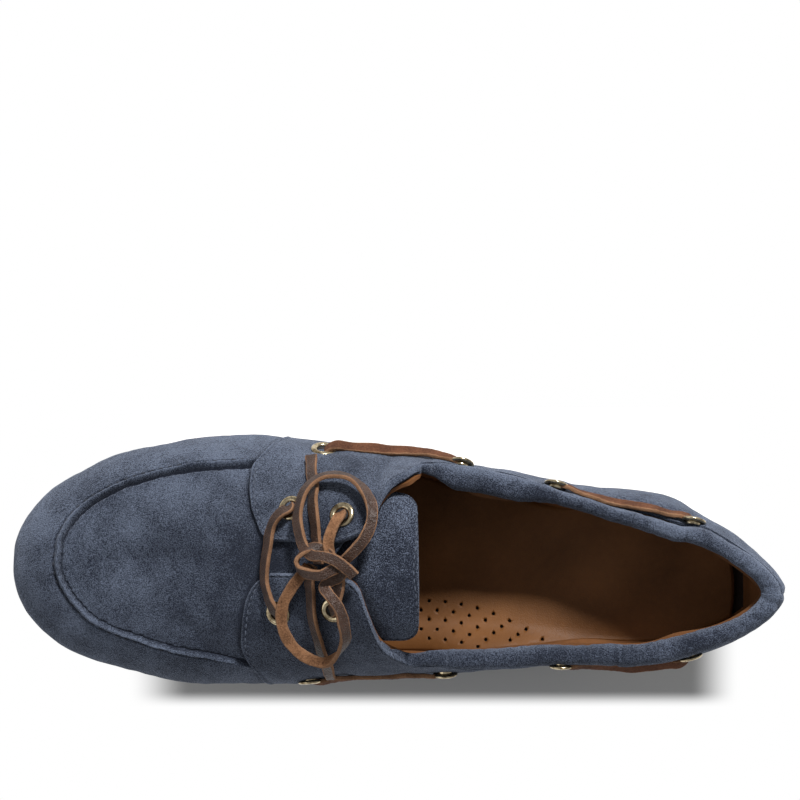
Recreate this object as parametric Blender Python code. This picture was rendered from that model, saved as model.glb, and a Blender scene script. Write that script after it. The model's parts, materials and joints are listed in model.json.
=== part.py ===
# A right boat shoe in suede: moulded sole, hollow upper, quarters, tongue, padded collar, leather lace.
# Everything below is worked out in millimetres on one last; metres are made when a mesh is written.
# x runs from the lateral side (-) to the medial side (+), fromHeel from the back to the toe, and z is up.
import math

import bmesh
import bpy
import numpy as np
from mathutils import Vector

shoeLength = 256.0
ballFromHeel = 176.0  # widest place of the forepart
heelRound = 54.0  # where the round of the heel meets the straight sides
heelFan = 24.0  # how far along the spine the heel's sections start from
toeFan = 50.0  # the same for the toe's sections
toeSquareness = 2.1
heelSquareness = 1.58
soleHeelSquareness = 1.85
featherStep = 1.6  # the feather lies this far inside the sole's edge
crownSquareness = 2.3
wall = 2.4  # vamp leather and lining
gap = 0.3
layerGap = 0.75  # between faceted layers of one curved surface
quarterThick = 1.2
quarterUpright = 110.0  # ahead of here its columns lean forward, and from quarterSwell they take up its front edge
quarterSwell = 138.0
heelBack = layerGap + quarterThick  # the quarters lie behind the last
soleHeelIn = heelBack + 2.1
counterSwell, counterAt, counterReach = 2.3, 36.5, 12.0  # the upper's extra fullness by the heel, lateral side
shoeMiddle = -0.44  # half way between the two widest places
tongueThick = 2.2
tongueSink = 0.9  # it lies this far under the vamp
insoleThick = 3.0
soleRound = 1.4  # the bottom edge of the sole
collarDrop = 9.0  # height of the padded roll
collarEndDrop = 0.35  # share of it left where the collar runs into the throat
collarTaper = 16.0  # length over which it gets there
wallRecess = 1.2  # the wall ends this far ahead of the quarter's edge at the throat
featherEdge, quarterEdge, crownLine = -90.0, -76.0, 90.0  # section angles; the bulge is at 0

lateral, medial = -1, 1
toeFullness = {lateral: 2.65, medial: 2.0}  # how square the toe is across
sideName = {lateral: "lateral", medial: "medial"}


def table(columns, *rows):
    return {name: np.array([row[i] for row in rows], float) for i, name in enumerate(columns.split())}


# half widths from the spine to the widest line of the vamp and the wall
outline = table(
    "fromHeel lateral medial",
    (54, 27.4, 27.2),
    (74, 28.8, 28.2),
    (93, 31.7, 30.6),
    (108, 33.3, 33.1),
    (120, 35.0, 35.1),
    (133, 34.8, 37.8),
    (146, 35.0, 40.0),
    (160, 37.0, 42.3),
    (176, 39.2, 43.8),
)
# the spine's sideways place, and the heights of a section: bulge, closed crown on each side
last = table(
    "fromHeel spine bulge crownLateral crownMedial ridge",
    (0, 8.9, 26.0, 88.0, 88.0, 73.0),
    (25, 7.4, 27.0, 76.0, 80.0, 73.0),
    (33, 6.8, 27.7, 65.5, 79.5, 73.0),
    (42, 6.1, 28.5, 62.0, 79.0, 73.0),
    (54, 4.9, 29.5, 60.5, 79.0, 73.0),
    (74, 3.6, 29.5, 65.5, 78.0, 73.0),
    (93, 2.6, 28.0, 90.0, 75.5, 73.0),
    (108, 1.4, 26.5, 99.0, 73.5, 73.0),
    (120, 0.2, 25.0, 88.0, 72.5, 72.8),
    (133, -1.7, 23.0, 71.0, 71.0, 71.0),
    (146, -3.1, 21.5, 66.5, 66.5, 66.5),
    (160, -3.3, 20.0, 60.5, 60.5, 60.5),
    (176, -3.1, 19.0, 54.0, 54.0, 54.0),
    (200, -2.3, 19.0, 46.0, 46.0, 46.0),
    (214, -1.8, 19.2, 42.3, 42.3, 42.3),
    (226, -1.0, 19.5, 40.5, 40.5, 40.5),
    (256, 2.5, 21.0, 40.5, 40.5, 40.5),
)
# heel seat, arch, tread and toe spring, and how far the sole's edge lies inside the bulge
sole = table(
    "fromHeel top bottom edgeInLateral edgeInMedial",
    (0, 18.5, 0.0, 3.4, 3.4),
    (52, 17.2, 0.0, 3.6, 3.8),
    (62, 16.0, 0.0, 4.0, 5.0),
    (67, 15.2, 7.6, 4.2, 5.8),
    (80, 13.2, 6.6, 4.4, 7.0),
    (95, 10.8, 4.4, 4.4, 7.6),
    (110, 8.8, 2.0, 4.0, 6.4),
    (123, 7.6, 0.0, 3.6, 4.6),
    (150, 7.0, 0.0, 3.2, 3.4),
    (190, 7.0, 0.0, 3.0, 3.0),
    (208, 8.0, 0.9, 3.0, 3.0),
    (232, 11.0, 4.2, 3.0, 3.0),
    (256, 15.5, 9.2, 3.0, 3.0),
)
# the collar's top and the width of its roll
collar = table(
    "fromHeel top widthLateral widthMedial",
    (0, 66.0, 6.7, 6.7),
    (25, 62.5, 5.9, 6.7),
    (42, 58.5, 4.9, 6.7),
    (54, 55.5, 4.9, 6.7),
    (74, 51.8, 5.1, 6.7),
    (93, 50.6, 8.7, 6.7),
    (108, 52.2, 8.6, 6.7),
    (120, 55.8, 4.6, 4.6),
)
# section angle of the free edge where the quarters rise from the collar to the throat
throat = table(
    "fromHeel lateral medial",
    (120.0, 29.0, 32.0),
    (124.5, 38.0, 35.0),
    (127.0, 43.0, 39.0),
    (130.0, 50.0, 43.5),
    (133.0, 61.0, 50.9),
    (135.0, 71.0, 59.5),
    (137.2, 75.6, 69.0),
    (140.0, 79.6, 80.0),
    (143.5, 82.5, 83.5),
    (147.0, 84.0, 85.0),
)
# front edge of each quarter, from the feather to the corner beside the lace
quarterFront = {
    lateral: table(
        "angle fromHeel",
        (-90, 163.5),
        (0, 165.4),
        (23, 168.7),
        (37, 172.1),
        (47, 175.2),
        (58, 175.7),
        (69, 174.9),
        (75, 173.4),
        (81, 171.6),
        (84.5, 169.3),
    ),
    medial: table(
        "angle fromHeel",
        (-90, 166.0),
        (0, 170.0),
        (20, 172.1),
        (33, 174.2),
        (45, 177.5),
        (53, 178.7),
        (64, 178.1),
        (73, 177.0),
        (79, 175.0),
        (82.5, 172.4),
        (85, 168.6),
    ),
}

# where the raised apron seam runs: share of the way from ball to toe, and share of the half width
apron = table(
    "ahead lateral medial",
    (0.0, 0.786, 0.812),
    (0.11, 0.780, 0.780),
    (0.27, 0.779, 0.745),
    (0.42, 0.767, 0.722),
    (0.55, 0.745, 0.696),
    (0.65, 0.724, 0.678),
    (0.76, 0.692, 0.636),
    (0.845, 0.642, 0.572),
    (0.91, 0.577, 0.522),
    (0.96, 0.518, 0.480),
    (1.0, 0.455, 0.452),
)
seamRadius = 1.2
apronStart = {lateral: 175.5, medial: 178.5}

# eyelets beside the throat: place from the spine side of the shoe, and from the heel
ringRadius, ringTube, ringFlat = 3.1, 1.0, 0.75
eyeletLift = layerGap + quarterThick + gap + ringTube * ringFlat
throatEyelets = {
    "front_lateral": (-19.5, 162.4),
    "rear_lateral": (-17.7, 145.7),
    "front_medial": (15.3, 166.6),
    "rear_medial": (13.8, 148.7),
}
# the lace threaded round the quarters under the collar, eyelet to eyelet: from the heel, and height
laceWide, laceThick = 3.3, 1.6
wallAngle = 25.0  # near enough the section angle it runs at
sideRuns = {
    "lateral_front": (lateral, (152.0, 40.0), (107.0, 44.0)),
    "lateral_rear": (lateral, (76.0, 42.5), (31.0, 51.5)),
    "medial_front": (medial, (156.5, 34.0), (112.0, 36.5)),
    "medial_rear": (medial, (74.0, 44.5), (33.0, 51.0)),
}
# routes of the lace above the vamp: place across, from the heel, and clearance of its middle from the last
cordRadius = 1.25
cordStep = 3.2
endHigh, loopHigh = 3.5, 6.6
barRoute = [
    (-19.5, 162.4, 2.9), (-19.5, 162.4, 3.8), (-19.0, 163.1, 5.0), (-17.7, 165.2, 5.5),
    (-15.4, 167.3, 5.0), (-12.1, 168.7, 4.2), (-4.0, 170.0, 3.8), (4.1, 170.3, 4.0),
    (9.6, 169.4, 4.9), (12.5, 168.0, 5.5), (14.6, 167.0, 5.0), (15.3, 166.6, 3.8),
    (15.3, 166.6, 2.9),
]
knotMiddle, knotSize = (-2.0, 151.3, 6.0), (10.6, 14.4, 6.8)
bowRoutes = {
    "lace_rise_lateral": [
        (-17.7, 145.7, 2.9), (-17.7, 145.7, 3.8), (-17.0, 146.1, 5.0), (-15.0, 147.3, 5.6),
        (-11.8, 148.9, 5.8), (-8.5, 149.7, 5.8),
    ],
    "lace_rise_medial": [
        (13.8, 148.7, 2.9), (13.8, 148.7, 3.8), (13.1, 148.4, 4.9), (11.0, 147.5, 5.3),
        (8.0, 146.4, 4.8), (4.2, 145.9, 4.8),
    ],
    "lace_loop_lateral": [
        (-6.9, 157.3, 6.4), (-10.7, 158.9, loopHigh), (-17.1, 159.7, 7.0), (-23.6, 158.3, 7.0),
        (-28.0, 154.7, loopHigh), (-30.0, 149.2, loopHigh), (-29.3, 143.8, loopHigh),
        (-26.1, 139.0, loopHigh), (-21.0, 136.1, loopHigh), (-15.5, 135.8, loopHigh),
        (-10.1, 138.0, loopHigh), (-6.6, 140.9, loopHigh), (-4.6, 143.0, loopHigh),
    ],
    "lace_loop_medial": [
        (4.4, 151.3, 7.2), (7.5, 149.3, 8.4), (11.7, 146.7, 8.8), (17.2, 144.8, 8.2),
        (22.9, 144.5, 7.2), (27.7, 146.7, loopHigh), (30.6, 150.5, loopHigh),
        (30.3, 154.7, loopHigh), (27.7, 159.5, loopHigh), (22.9, 163.0, 6.8),
        (17.2, 165.0, 7.4), (11.4, 164.3, 7.2), (6.9, 161.8, loopHigh), (2.7, 158.9, 6.4),
    ],
    "lace_end_lateral": [
        (-8.4, 153.4, 4.4), (-12.5, 153.8, endHigh), (-16.8, 154.4, endHigh), (-21.0, 154.6, endHigh),
        (-25.2, 154.7, endHigh), (-30.6, 155.4, endHigh), (-35.6, 155.7, endHigh),
    ],
    "lace_end_medial": [
        (4.4, 155.8, 4.4), (7.5, 155.7, endHigh), (10.7, 155.4, endHigh), (15.0, 155.0, endHigh),
        (19.1, 154.3, endHigh), (23.4, 153.2, endHigh), (27.4, 152.2, endHigh),
        (32.2, 150.6, endHigh), (36.4, 149.3, endHigh),
    ],
}


def follow(rows, column, at, key="fromHeel"):
    """A smooth line through a table's rows that never overshoots them."""
    x, y = rows[key], rows[column]
    at = np.clip(np.asarray(at, float), x[0], x[-1])
    rise = np.diff(y) / np.diff(x)
    slope = np.zeros(len(x))
    level = rise[:-1] * rise[1:] <= 0
    slope[1:-1] = np.where(level, 0, 2 * rise[:-1] * rise[1:] / np.where(level, 1, rise[:-1] + rise[1:]))
    i = np.clip(np.searchsorted(x, at, side="right") - 1, 0, len(x) - 2)
    run = x[i + 1] - x[i]
    t = (at - x[i]) / run
    near = (1 + 2 * t) * (1 - t) ** 2 * y[i] + t * (1 - t) ** 2 * run * slope[i]
    far = t * t * (3 - 2 * t) * y[i + 1] + t * t * (t - 1) * run * slope[i + 1]
    return near + far


def mix(a, b, t):
    return a + (b - a) * t


def power(value, exponent):
    return np.clip(value, 0, None) ** exponent


# A ray is one section of the last: 0 at the heel, 1 where the round heel meets the side, 2 at the ball,
# 3 at the toe.
def rayAt(fromHeel):
    """The ray of the straight sides that stands at a distance from the heel."""
    return 1 + (fromHeel - heelRound) / (ballFromHeel - heelRound)


def plan(side, ray, inset=0.0, heelIn=heelBack, heelShape=heelSquareness):
    """The outline's place and the spine's place of a ray, each as x and distance from the heel."""
    ray = np.asarray(ray, float)
    back = np.clip(1 - ray, 0, 1) * math.pi / 2
    front = np.clip(ray - 2, 0, 1) * math.pi / 2
    frontAlong = power(np.sin(front), 2 / toeSquareness)
    middle = mix(heelRound, ballFromHeel, np.clip(ray - 1, 0, 1))
    edgeAt = middle - (heelRound - heelIn) * power(np.sin(back), 2 / heelShape)
    edgeAt = edgeAt + (shoeLength - ballFromHeel - inset) * frontAlong
    spineAt = middle - heelFan * power(np.sin(back), 2 / heelSquareness) + toeFan * frontAlong
    half = follow(outline, sideName[side], middle) - inset
    if side == lateral and not np.any(inset):
        half = half + counterSwell * np.exp(-(((edgeAt - counterAt) / counterReach) ** 2))
    half = half * power(np.cos(back), 2 / heelShape) * power(np.cos(front), 2 / toeFullness[side])
    edge = np.stack([follow(last, "spine", edgeAt) + side * half, edgeAt], -1)
    spine = np.stack([follow(last, "spine", spineAt), spineAt], -1)
    return edge, spine


def solePlan(side, ray, column, more=0.0):
    """The outline of the feather or of the sole, rounder at the heel than the counter above it."""
    middle = mix(heelRound, ballFromHeel, np.clip(np.asarray(ray, float) - 1, 0, 1))
    return plan(side, ray, follow(sole, column, middle) + more, soleHeelIn + more, soleHeelSquareness)


def inwards(side, ray):
    edge, spine = plan(side, ray)
    return (spine - edge) / np.linalg.norm(spine - edge, axis=-1, keepdims=True)


def edgeColumn(side):
    return "edgeIn" + sideName[side].capitalize()


def crownHeight(side, edgeAt, spineAt, bridged):
    """Where a section would close. A piece that bridges both sides takes one height for the two."""
    at = np.where(spineAt > ballFromHeel, spineAt, edgeAt)
    return follow(last, "ridge" if bridged else "crown" + sideName[side].capitalize(), at)


def lastPoint(side, ray, angle, bridged=False):
    """The last's own surface: below the bulge it tucks in to the feather, above it a superellipse rises."""
    ray, angle = np.broadcast_arrays(np.asarray(ray, float), np.asarray(angle, float))
    edge, spine = plan(side, ray)
    bulge = follow(last, "bulge", edge[..., 1])
    foot = follow(sole, "top", edge[..., 1]) + gap
    tuck = np.clip(-angle / 90, 0, 1)
    lift = np.radians(np.clip(angle, 0, 90))
    out = power(np.cos(lift), 2 / crownSquareness)
    up = power(np.sin(lift), 2 / crownSquareness)
    crown = crownHeight(side, edge[..., 1], spine[..., 1], bridged)
    feather = solePlan(side, ray, edgeColumn(side), featherStep)[0]
    flat = mix(spine, edge, out[..., None])
    flat = flat + (feather - edge) * (tuck**2)[..., None]
    z = mix(bulge, crown, up) - (bulge - foot) * tuck
    return np.concatenate([flat, z[..., None]], -1)


def lastNormal(side, ray, angle, bridged=False):
    ray, angle = np.broadcast_arrays(np.asarray(ray, float), np.asarray(angle, float))
    dRay, dAngle = 0.02, 1.0
    fore = lastPoint(side, np.clip(ray + dRay, 0, 3), angle, bridged)
    fore = fore - lastPoint(side, np.clip(ray - dRay, 0, 3), angle, bridged)
    rise = lastPoint(side, ray, np.clip(angle + dAngle, -90, 90), bridged)
    rise = rise - lastPoint(side, ray, angle - dAngle, bridged)
    atCrown = angle > 89.5
    rise = np.where(atCrown[..., None], np.array([-side, 0.0, 0.0]), rise)
    atEnd = (ray < dRay) | (ray > 3 - dRay)
    across = np.array([side, 0.0, 0.0]) * np.sign(1.5 - ray)[..., None]
    fore = np.where((atEnd & ~atCrown)[..., None], across, fore)
    normal = np.cross(fore, rise) * side
    return normal / np.linalg.norm(normal, axis=-1, keepdims=True)


def skin(side, ray, angle, out=0.0, bridged=False):
    """A place on the last's surface, moved out along its normal."""
    normal = lastNormal(side, ray, angle, bridged)
    return lastPoint(side, ray, angle, bridged) + normal * np.asarray(out, float)[..., None]


def rayThrough(fromHeel, angle):
    """The ray whose point at this angle lies at a distance from the heel."""
    out = power(np.cos(np.radians(np.clip(angle, 0, 90))), 2 / crownSquareness)
    ahead = (fromHeel - ballFromHeel) / (toeFan + (shoeLength - ballFromHeel - toeFan) * out)
    behind = (heelRound - fromHeel) / (heelFan + (heelRound - heelBack - heelFan) * out)
    front = np.arcsin(np.clip(power(ahead, toeSquareness / 2), 0, 1)) * 2 / math.pi
    back = np.arcsin(np.clip(power(behind, heelSquareness / 2), 0, 1)) * 2 / math.pi
    middle = rayAt(np.clip(fromHeel, heelRound, ballFromHeel))
    return middle + front - back


def angleAtHeight(side, ray, z):
    edge, spine = plan(side, ray)
    bulge = follow(last, "bulge", edge[..., 1])
    up = (z - bulge) / (crownHeight(side, edge[..., 1], spine[..., 1], False) - bulge)
    return np.degrees(np.arcsin(np.clip(power(up, crownSquareness / 2), 0, 1)))


def drop(fromHeel):
    """How far the wall stops below the collar's top."""
    t = np.clip((throat["fromHeel"][0] - fromHeel) / collarTaper, 0, 1)
    return collarDrop * mix(collarEndDrop, 1, t * t * (3 - 2 * t))


def freeEdge(side, ray, recess=0.0):
    """The angle where a quarter or the wall ends: under the collar, round the throat, closed in front."""
    edgeAt = plan(side, ray)[0][..., 1]
    under = angleAtHeight(side, ray, follow(collar, "top", edgeAt) - drop(edgeAt))
    rising = follow(throat, sideName[side], edgeAt - recess)
    angle = np.where(edgeAt < throat["fromHeel"][0], under, rising)
    return np.where(edgeAt > throat["fromHeel"][-1] + 1, crownLine, angle)


def clearScene():
    for thing in list(bpy.data.objects):
        bpy.data.objects.remove(thing)


def material(name, colour, roughness, metallic=0.0):
    made = bpy.data.materials.new(name)
    made.use_nodes = True
    shader = made.node_tree.nodes["Principled BSDF"]
    shader.inputs["Base Color"].default_value = (*colour, 1)
    shader.inputs["Roughness"].default_value = roughness
    shader.inputs["Metallic"].default_value = metallic
    return made


def toWorld(points):
    points = np.asarray(points, float).reshape(-1, 3)
    return np.stack([points[:, 0] - shoeMiddle, shoeLength / 2 - points[:, 1], points[:, 2]], -1) / 1000


def meshFrom(name, points, faces, finish, group):
    """One closed mesh: coincident points are joined and the faces turned outwards."""
    mesh = bpy.data.meshes.new(name)
    mesh.from_pydata([tuple(p) for p in toWorld(points)], [], faces)
    shape = bmesh.new()
    shape.from_mesh(mesh)
    bmesh.ops.remove_doubles(shape, verts=shape.verts, dist=1e-5)
    bmesh.ops.dissolve_degenerate(shape, edges=shape.edges, dist=1e-6)
    bmesh.ops.recalc_face_normals(shape, faces=shape.faces)
    if shape.calc_volume(signed=True) < 0:
        bmesh.ops.reverse_faces(shape, faces=shape.faces)
    shape.to_mesh(mesh)
    shape.free()
    mesh.materials.append(finish)
    mesh.shade_smooth()
    mesh.set_sharp_from_angle(angle=math.radians(50))
    thing = bpy.data.objects.new(name, mesh)
    group.objects.link(thing)
    return thing


def gridFaces(columns, rows, first=0, around=False):
    faces = []
    for i in range(columns if around else columns - 1):
        for j in range(rows - 1):
            a, b = i * rows + j, ((i + 1) % columns) * rows + j
            faces.append((first + a, first + b, first + b + 1, first + a + 1))
    return faces


def sheet(name, outer, inner, finish, group, around=False, rimSkips=()):
    """A solid between two like grids, closed along its free edges."""
    columns, rows = outer.shape[:2]
    count = columns * rows
    faces = gridFaces(columns, rows, 0, around) + gridFaces(columns, rows, count, around)
    for i in range(columns if around else columns - 1):
        after = (i + 1) % columns
        for j in (0, rows - 1):
            if (j, i) not in rimSkips:
                a, b = i * rows + j, after * rows + j
                faces.append((a, b, count + b, count + a))
    if not around:
        for i in (0, columns - 1):
            for j in range(rows - 1):
                a = i * rows + j
                faces.append((a, a + 1, count + a + 1, count + a))
    points = np.concatenate([outer.reshape(-1, 3), inner.reshape(-1, 3)])
    return meshFrom(name, points, faces, finish, group)


# rays that the faceted solids use, close together where the throat turns
heelRays = np.linspace(0, 1, 7)[:-1]
backRays = rayAt(np.array([54, 62, 67, 76, 87, 97, 105, 112, 119.9]))
throatRays = rayAt(np.array([124.5, 127, 130, 133, 135, 137, 138.7, 140.5, 143.5, 147]))
frontRays = rayAt(np.array([150, 158, 167]))
toeRays = 2 + np.linspace(0, 1, 9)
halfRays = np.concatenate([heelRays, backRays, throatRays, frontRays, toeRays])


def roundTheShoe(half):
    """Both sides' columns in one closed loop: by the lateral side to the toe, by the medial side back."""
    return np.concatenate([half(lateral), half(medial)[-2:0:-1]])


def makeUpper(finish, group):
    share = np.array([0, 0.1, 0.2, 0.3, 0.4, 0.5, 0.62, 0.76, 0.89, 1])
    below = np.array([featherEdge, -55, -25])

    def half(side, out):
        end = freeEdge(side, halfRays, recess=wallRecess)
        angles = np.concatenate([np.tile(below, (len(halfRays), 1)), share[None] * end[:, None]], 1)
        return skin(side, halfRays[:, None], angles, out)

    outer = roundTheShoe(lambda side: half(side, 0.0))
    inner = roundTheShoe(lambda side: half(side, -wall))
    closed = plan(lateral, halfRays)[0][:, 1] > throat["fromHeel"][-1] + 1
    n = len(halfRays)
    closed = closed[np.concatenate([np.arange(n), np.arange(n - 2, 0, -1)])]
    top = outer.shape[1] - 1
    skips = {(top, i) for i in np.flatnonzero(closed & np.roll(closed, -1))}
    return sheet("upper", outer, inner, finish, group, around=True, rimSkips=skips)


def slab(name, rings, finish, group):
    """A solid of rings round the shoe, the first and last of them drawn together to the spine."""
    outer = roundTheShoe(lambda side: np.stack([ring(side) for ring in rings], 1))
    columns, rows = outer.shape[:2]
    return meshFrom(name, outer.reshape(-1, 3), gridFaces(columns, rows, 0, around=True), finish, group)


def ringOf(inset, share, height):
    """inset from the sole's edge, then a share of the rest towards the spine, at height(fromHeel)."""

    def ring(side):
        edge, spine = solePlan(side, halfRays, edgeColumn(side), inset)
        flat = mix(edge, spine, share)
        return np.concatenate([flat, height(flat[:, 1])[:, None]], -1)

    return ring


def makeOutsole(finish, group):
    def bottom(at):
        return follow(sole, "bottom", at)

    def top(at):
        return follow(sole, "top", at)

    rings = [ringOf(soleRound, share, bottom) for share in (1, 0.6, 0.25, 0)]
    rings += [ringOf(0, 0, lambda at: bottom(at) + soleRound), ringOf(0, 0, top)]
    rings += [ringOf(0, share, top) for share in (0.3, 0.65, 1)]
    return slab("outsole", rings, finish, group)


def makeInsole(finish, group):
    edgeIn = featherStep + wall + 0.6

    def low(at):
        return follow(sole, "top", at) + gap

    def high(at):
        return low(at) + insoleThick

    rings = [ringOf(edgeIn, share, low) for share in (1, 0.5, 0)]
    rings += [ringOf(edgeIn, share, high) for share in (0, 0.5, 1)]
    return slab("insole", rings, finish, group)


tongueEnd, tongueRoot = 121.0, 168.0
tongueEdgeAngle, tongueCorner = 43.5, 5.5


def makeTongue(finish, group):
    corner = tongueEnd + tongueCorner * np.array([0, 0.12, 0.4, 1])
    steps = np.concatenate([corner, np.linspace(134, tongueRoot, 6)])
    short = np.clip(1 - (steps - tongueEnd) / tongueCorner, 0, 1)
    cut = (crownLine - tongueEdgeAngle) * 0.22 * (1 - np.sqrt(1 - short**2))

    def grid(out):
        columns = []
        for at, narrower in zip(steps, cut):
            across = np.linspace(tongueEdgeAngle + narrower, crownLine, 7)
            left = skin(lateral, rayThrough(at, across), across, out, bridged=True)
            right = skin(medial, rayThrough(at, across), across, out, bridged=True)
            columns.append(np.concatenate([left, right[-2::-1]]))
        return np.array(columns)

    outer = -wall - tongueSink
    return sheet("tongue", grid(outer), grid(outer - tongueThick), finish, group)


def makeQuarter(side, finish, group):
    """The quarter lies on the vamp and wall: its top follows the collar, the throat and the lace gap."""
    front = quarterFront[side]
    topAt = np.concatenate([plan(side, heelRays)[0][:, 1], [54, 67, 80, 93, 106, 114, 119.9]])
    topRay = np.concatenate([heelRays, rayAt(topAt[len(heelRays):])])
    topAngle = freeEdge(side, topRay)
    rising = throat["fromHeel"][1:]
    corner, cornerAngle = front["fromHeel"][-1], front["angle"][-1]
    along = np.linspace(throat["fromHeel"][-1], corner, 5)[1:]
    topAt = np.concatenate([topAt, rising, along])
    topAngle = np.concatenate([topAngle, throat[sideName[side]][1:], np.full(len(along), cornerAngle)])
    slant = (topAt - quarterUpright) / (corner - quarterUpright)
    bottomAt = np.where(slant < 0, topAt, mix(quarterUpright, front["fromHeel"][0], slant))
    share = np.array([0, 0.22, 0.42, 0.52, 0.61, 0.7, 0.78, 0.86, 0.93, 0.975, 1])
    angle = quarterEdge + (topAngle[:, None] - quarterEdge) * share[None]
    straight = mix(front["fromHeel"][0], corner, share)
    swell = follow(front, "fromHeel", angle[-1], key="angle") - straight
    weight = np.clip((topAt - quarterSwell) / (corner - quarterSwell), 0, 1) ** 2
    at = mix(bottomAt[:, None], topAt[:, None], share[None]) + swell[None] * weight[:, None]
    ray = rayThrough(at, angle)
    ray[: len(heelRays)] = np.maximum(heelRays, 0.012)[:, None]
    low = skin(side, ray, angle, layerGap)
    high = skin(side, ray, angle, layerGap + quarterThick)
    return sheet("quarter_" + sideName[side], high, low, finish, group)


def makeCollar(finish, group):
    """The padded roll round the opening, on top of the wall."""
    rays = np.concatenate([heelRays, rayAt(np.array([54, 62, 71, 80, 89, 98, 106, 113, 118.5]))])
    corners = 10
    turn = (np.arange(corners) + 0.5) * 2 * math.pi / corners

    def half(side):
        edgeAt = plan(side, rays)[0][:, 1]
        top = follow(collar, "top", edgeAt)
        high = drop(edgeAt) - gap
        wide = follow(collar, "width" + sideName[side].capitalize(), edgeAt)
        middle = top - high / 2
        face = skin(side, rays, angleAtHeight(side, rays, middle), gap + quarterThick)
        inward = inwards(side, rays)
        across = np.sign(np.cos(turn)) * np.abs(np.cos(turn)) ** 0.8
        up = np.sign(np.sin(turn)) * np.abs(np.sin(turn)) ** 0.8
        reach = wide[:, None] / 2 * (1 - across[None])
        flat = face[:, None, :2] + inward[:, None] * reach[..., None]
        z = middle[:, None] + high[:, None] / 2 * up[None]
        return np.concatenate([flat, z[..., None]], -1)

    loop = np.concatenate([half(lateral)[:0:-1], half(medial)])
    columns, rows = loop.shape[:2]
    closed = np.concatenate([loop, loop[:, :1]], 1)
    faces = gridFaces(columns, rows + 1)
    faces.append(tuple(range(rows)))
    faces.append(tuple((columns - 1) * (rows + 1) + j for j in range(rows)))
    return meshFrom("collar", closed.reshape(-1, 3), faces, finish, group)


def along(points, step):
    """Points a step apart on the smooth curve through a route."""
    points = np.asarray(points, float)
    ends = np.concatenate([[2 * points[0] - points[1]], points, [2 * points[-1] - points[-2]]])
    t = np.linspace(0, 1, 24, endpoint=False)[:, None]
    fine = []
    for a, b, c, d in zip(ends, ends[1:], ends[2:], ends[3:]):
        bend = (2 * a - 5 * b + 4 * c - d) * t**2 + (3 * b - a - 3 * c + d) * t**3
        fine.append(0.5 * (2 * b + (c - a) * t + bend))
    fine = np.concatenate(fine + [points[-1:]])
    length = np.concatenate([[0], np.cumsum(np.linalg.norm(np.diff(fine, axis=0), axis=1))])
    count = max(3, round(length[-1] / step) + 1)
    at = np.linspace(0, length[-1], count)
    return np.stack([np.interp(at, length, fine[:, k]) for k in range(3)], -1)


def tube(name, points, radius, resolution, finish, group):
    curve = bpy.data.curves.new(name, "CURVE")
    curve.dimensions = "3D"
    curve.bevel_depth = radius / 1000
    curve.bevel_resolution = resolution
    curve.use_fill_caps = True
    line = curve.splines.new("POLY")
    line.points.add(len(points) - 1)
    for point, place in zip(line.points, toWorld(points)):
        point.co = (*place, 1)
    curve.materials.append(finish)
    thing = bpy.data.objects.new(name, curve)
    group.objects.link(thing)
    return thing


def over(x, fromHeel):
    """The side, ray and angle of the last's surface straight above a place in plan."""
    ray = rayAt(fromHeel)
    spine = float(follow(last, "spine", fromHeel))
    side = medial if x > spine else lateral
    out = abs(x - spine) / float(follow(outline, sideName[side], fromHeel))
    return side, ray, math.degrees(math.acos(min(out, 1) ** (crownSquareness / 2)))


def under(x, fromHeel, clearance):
    """The side, ray and angle from which a place in plan is reached, square to the last's surface."""
    footX, footAt = x, fromHeel
    for _ in range(8):
        side, ray, angle = over(footX, footAt)
        reached = skin(side, ray, angle, clearance)
        footX += 0.8 * (x - reached[0])
        footAt += 0.8 * (fromHeel - reached[1])
    return side, ray, angle


def above(route):
    """A route's rows as points: the clearance is measured square to the surface below them."""
    return [skin(*under(*row), row[2]) for row in route]


def makeApronSeam(finish, group):
    def half(side):
        start = float(rayThrough(apronStart[side], 35.0))
        ray = np.linspace(start, 3, 15)
        ahead = power(np.sin(np.clip(ray - 2, 0, 1) * math.pi / 2), 2 / toeSquareness)
        out = follow(apron, sideName[side], ahead, key="ahead")
        return skin(side, ray, np.degrees(np.arccos(power(out, crownSquareness / 2))), seamRadius + 0.4)

    route = np.concatenate([half(lateral), half(medial)[-2::-1]])
    return tube("apron_seam", along(route, 5.0), seamRadius, 1, finish, group)


def makeEyelet(name, side, ray, angle, finish, group):
    """A rolled brass ring standing on the quarter."""
    place = skin(side, ray, angle, eyeletLift)
    normal = lastNormal(side, ray, angle)
    bpy.ops.mesh.primitive_torus_add(
        major_segments=12,
        minor_segments=5,
        major_radius=ringRadius / 1000,
        minor_radius=ringTube / 1000,
        location=toWorld(place)[0],
        rotation=Vector((normal[0], -normal[1], normal[2])).to_track_quat("Z", "Y").to_euler(),
    )
    ring = bpy.context.object
    ring.scale.z = ringFlat
    ring.name = "eyelet_" + name
    ring.data.materials.append(finish)
    ring.data.shade_smooth()
    for home in list(ring.users_collection):
        home.objects.unlink(ring)
    group.objects.link(ring)
    return ring


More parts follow.
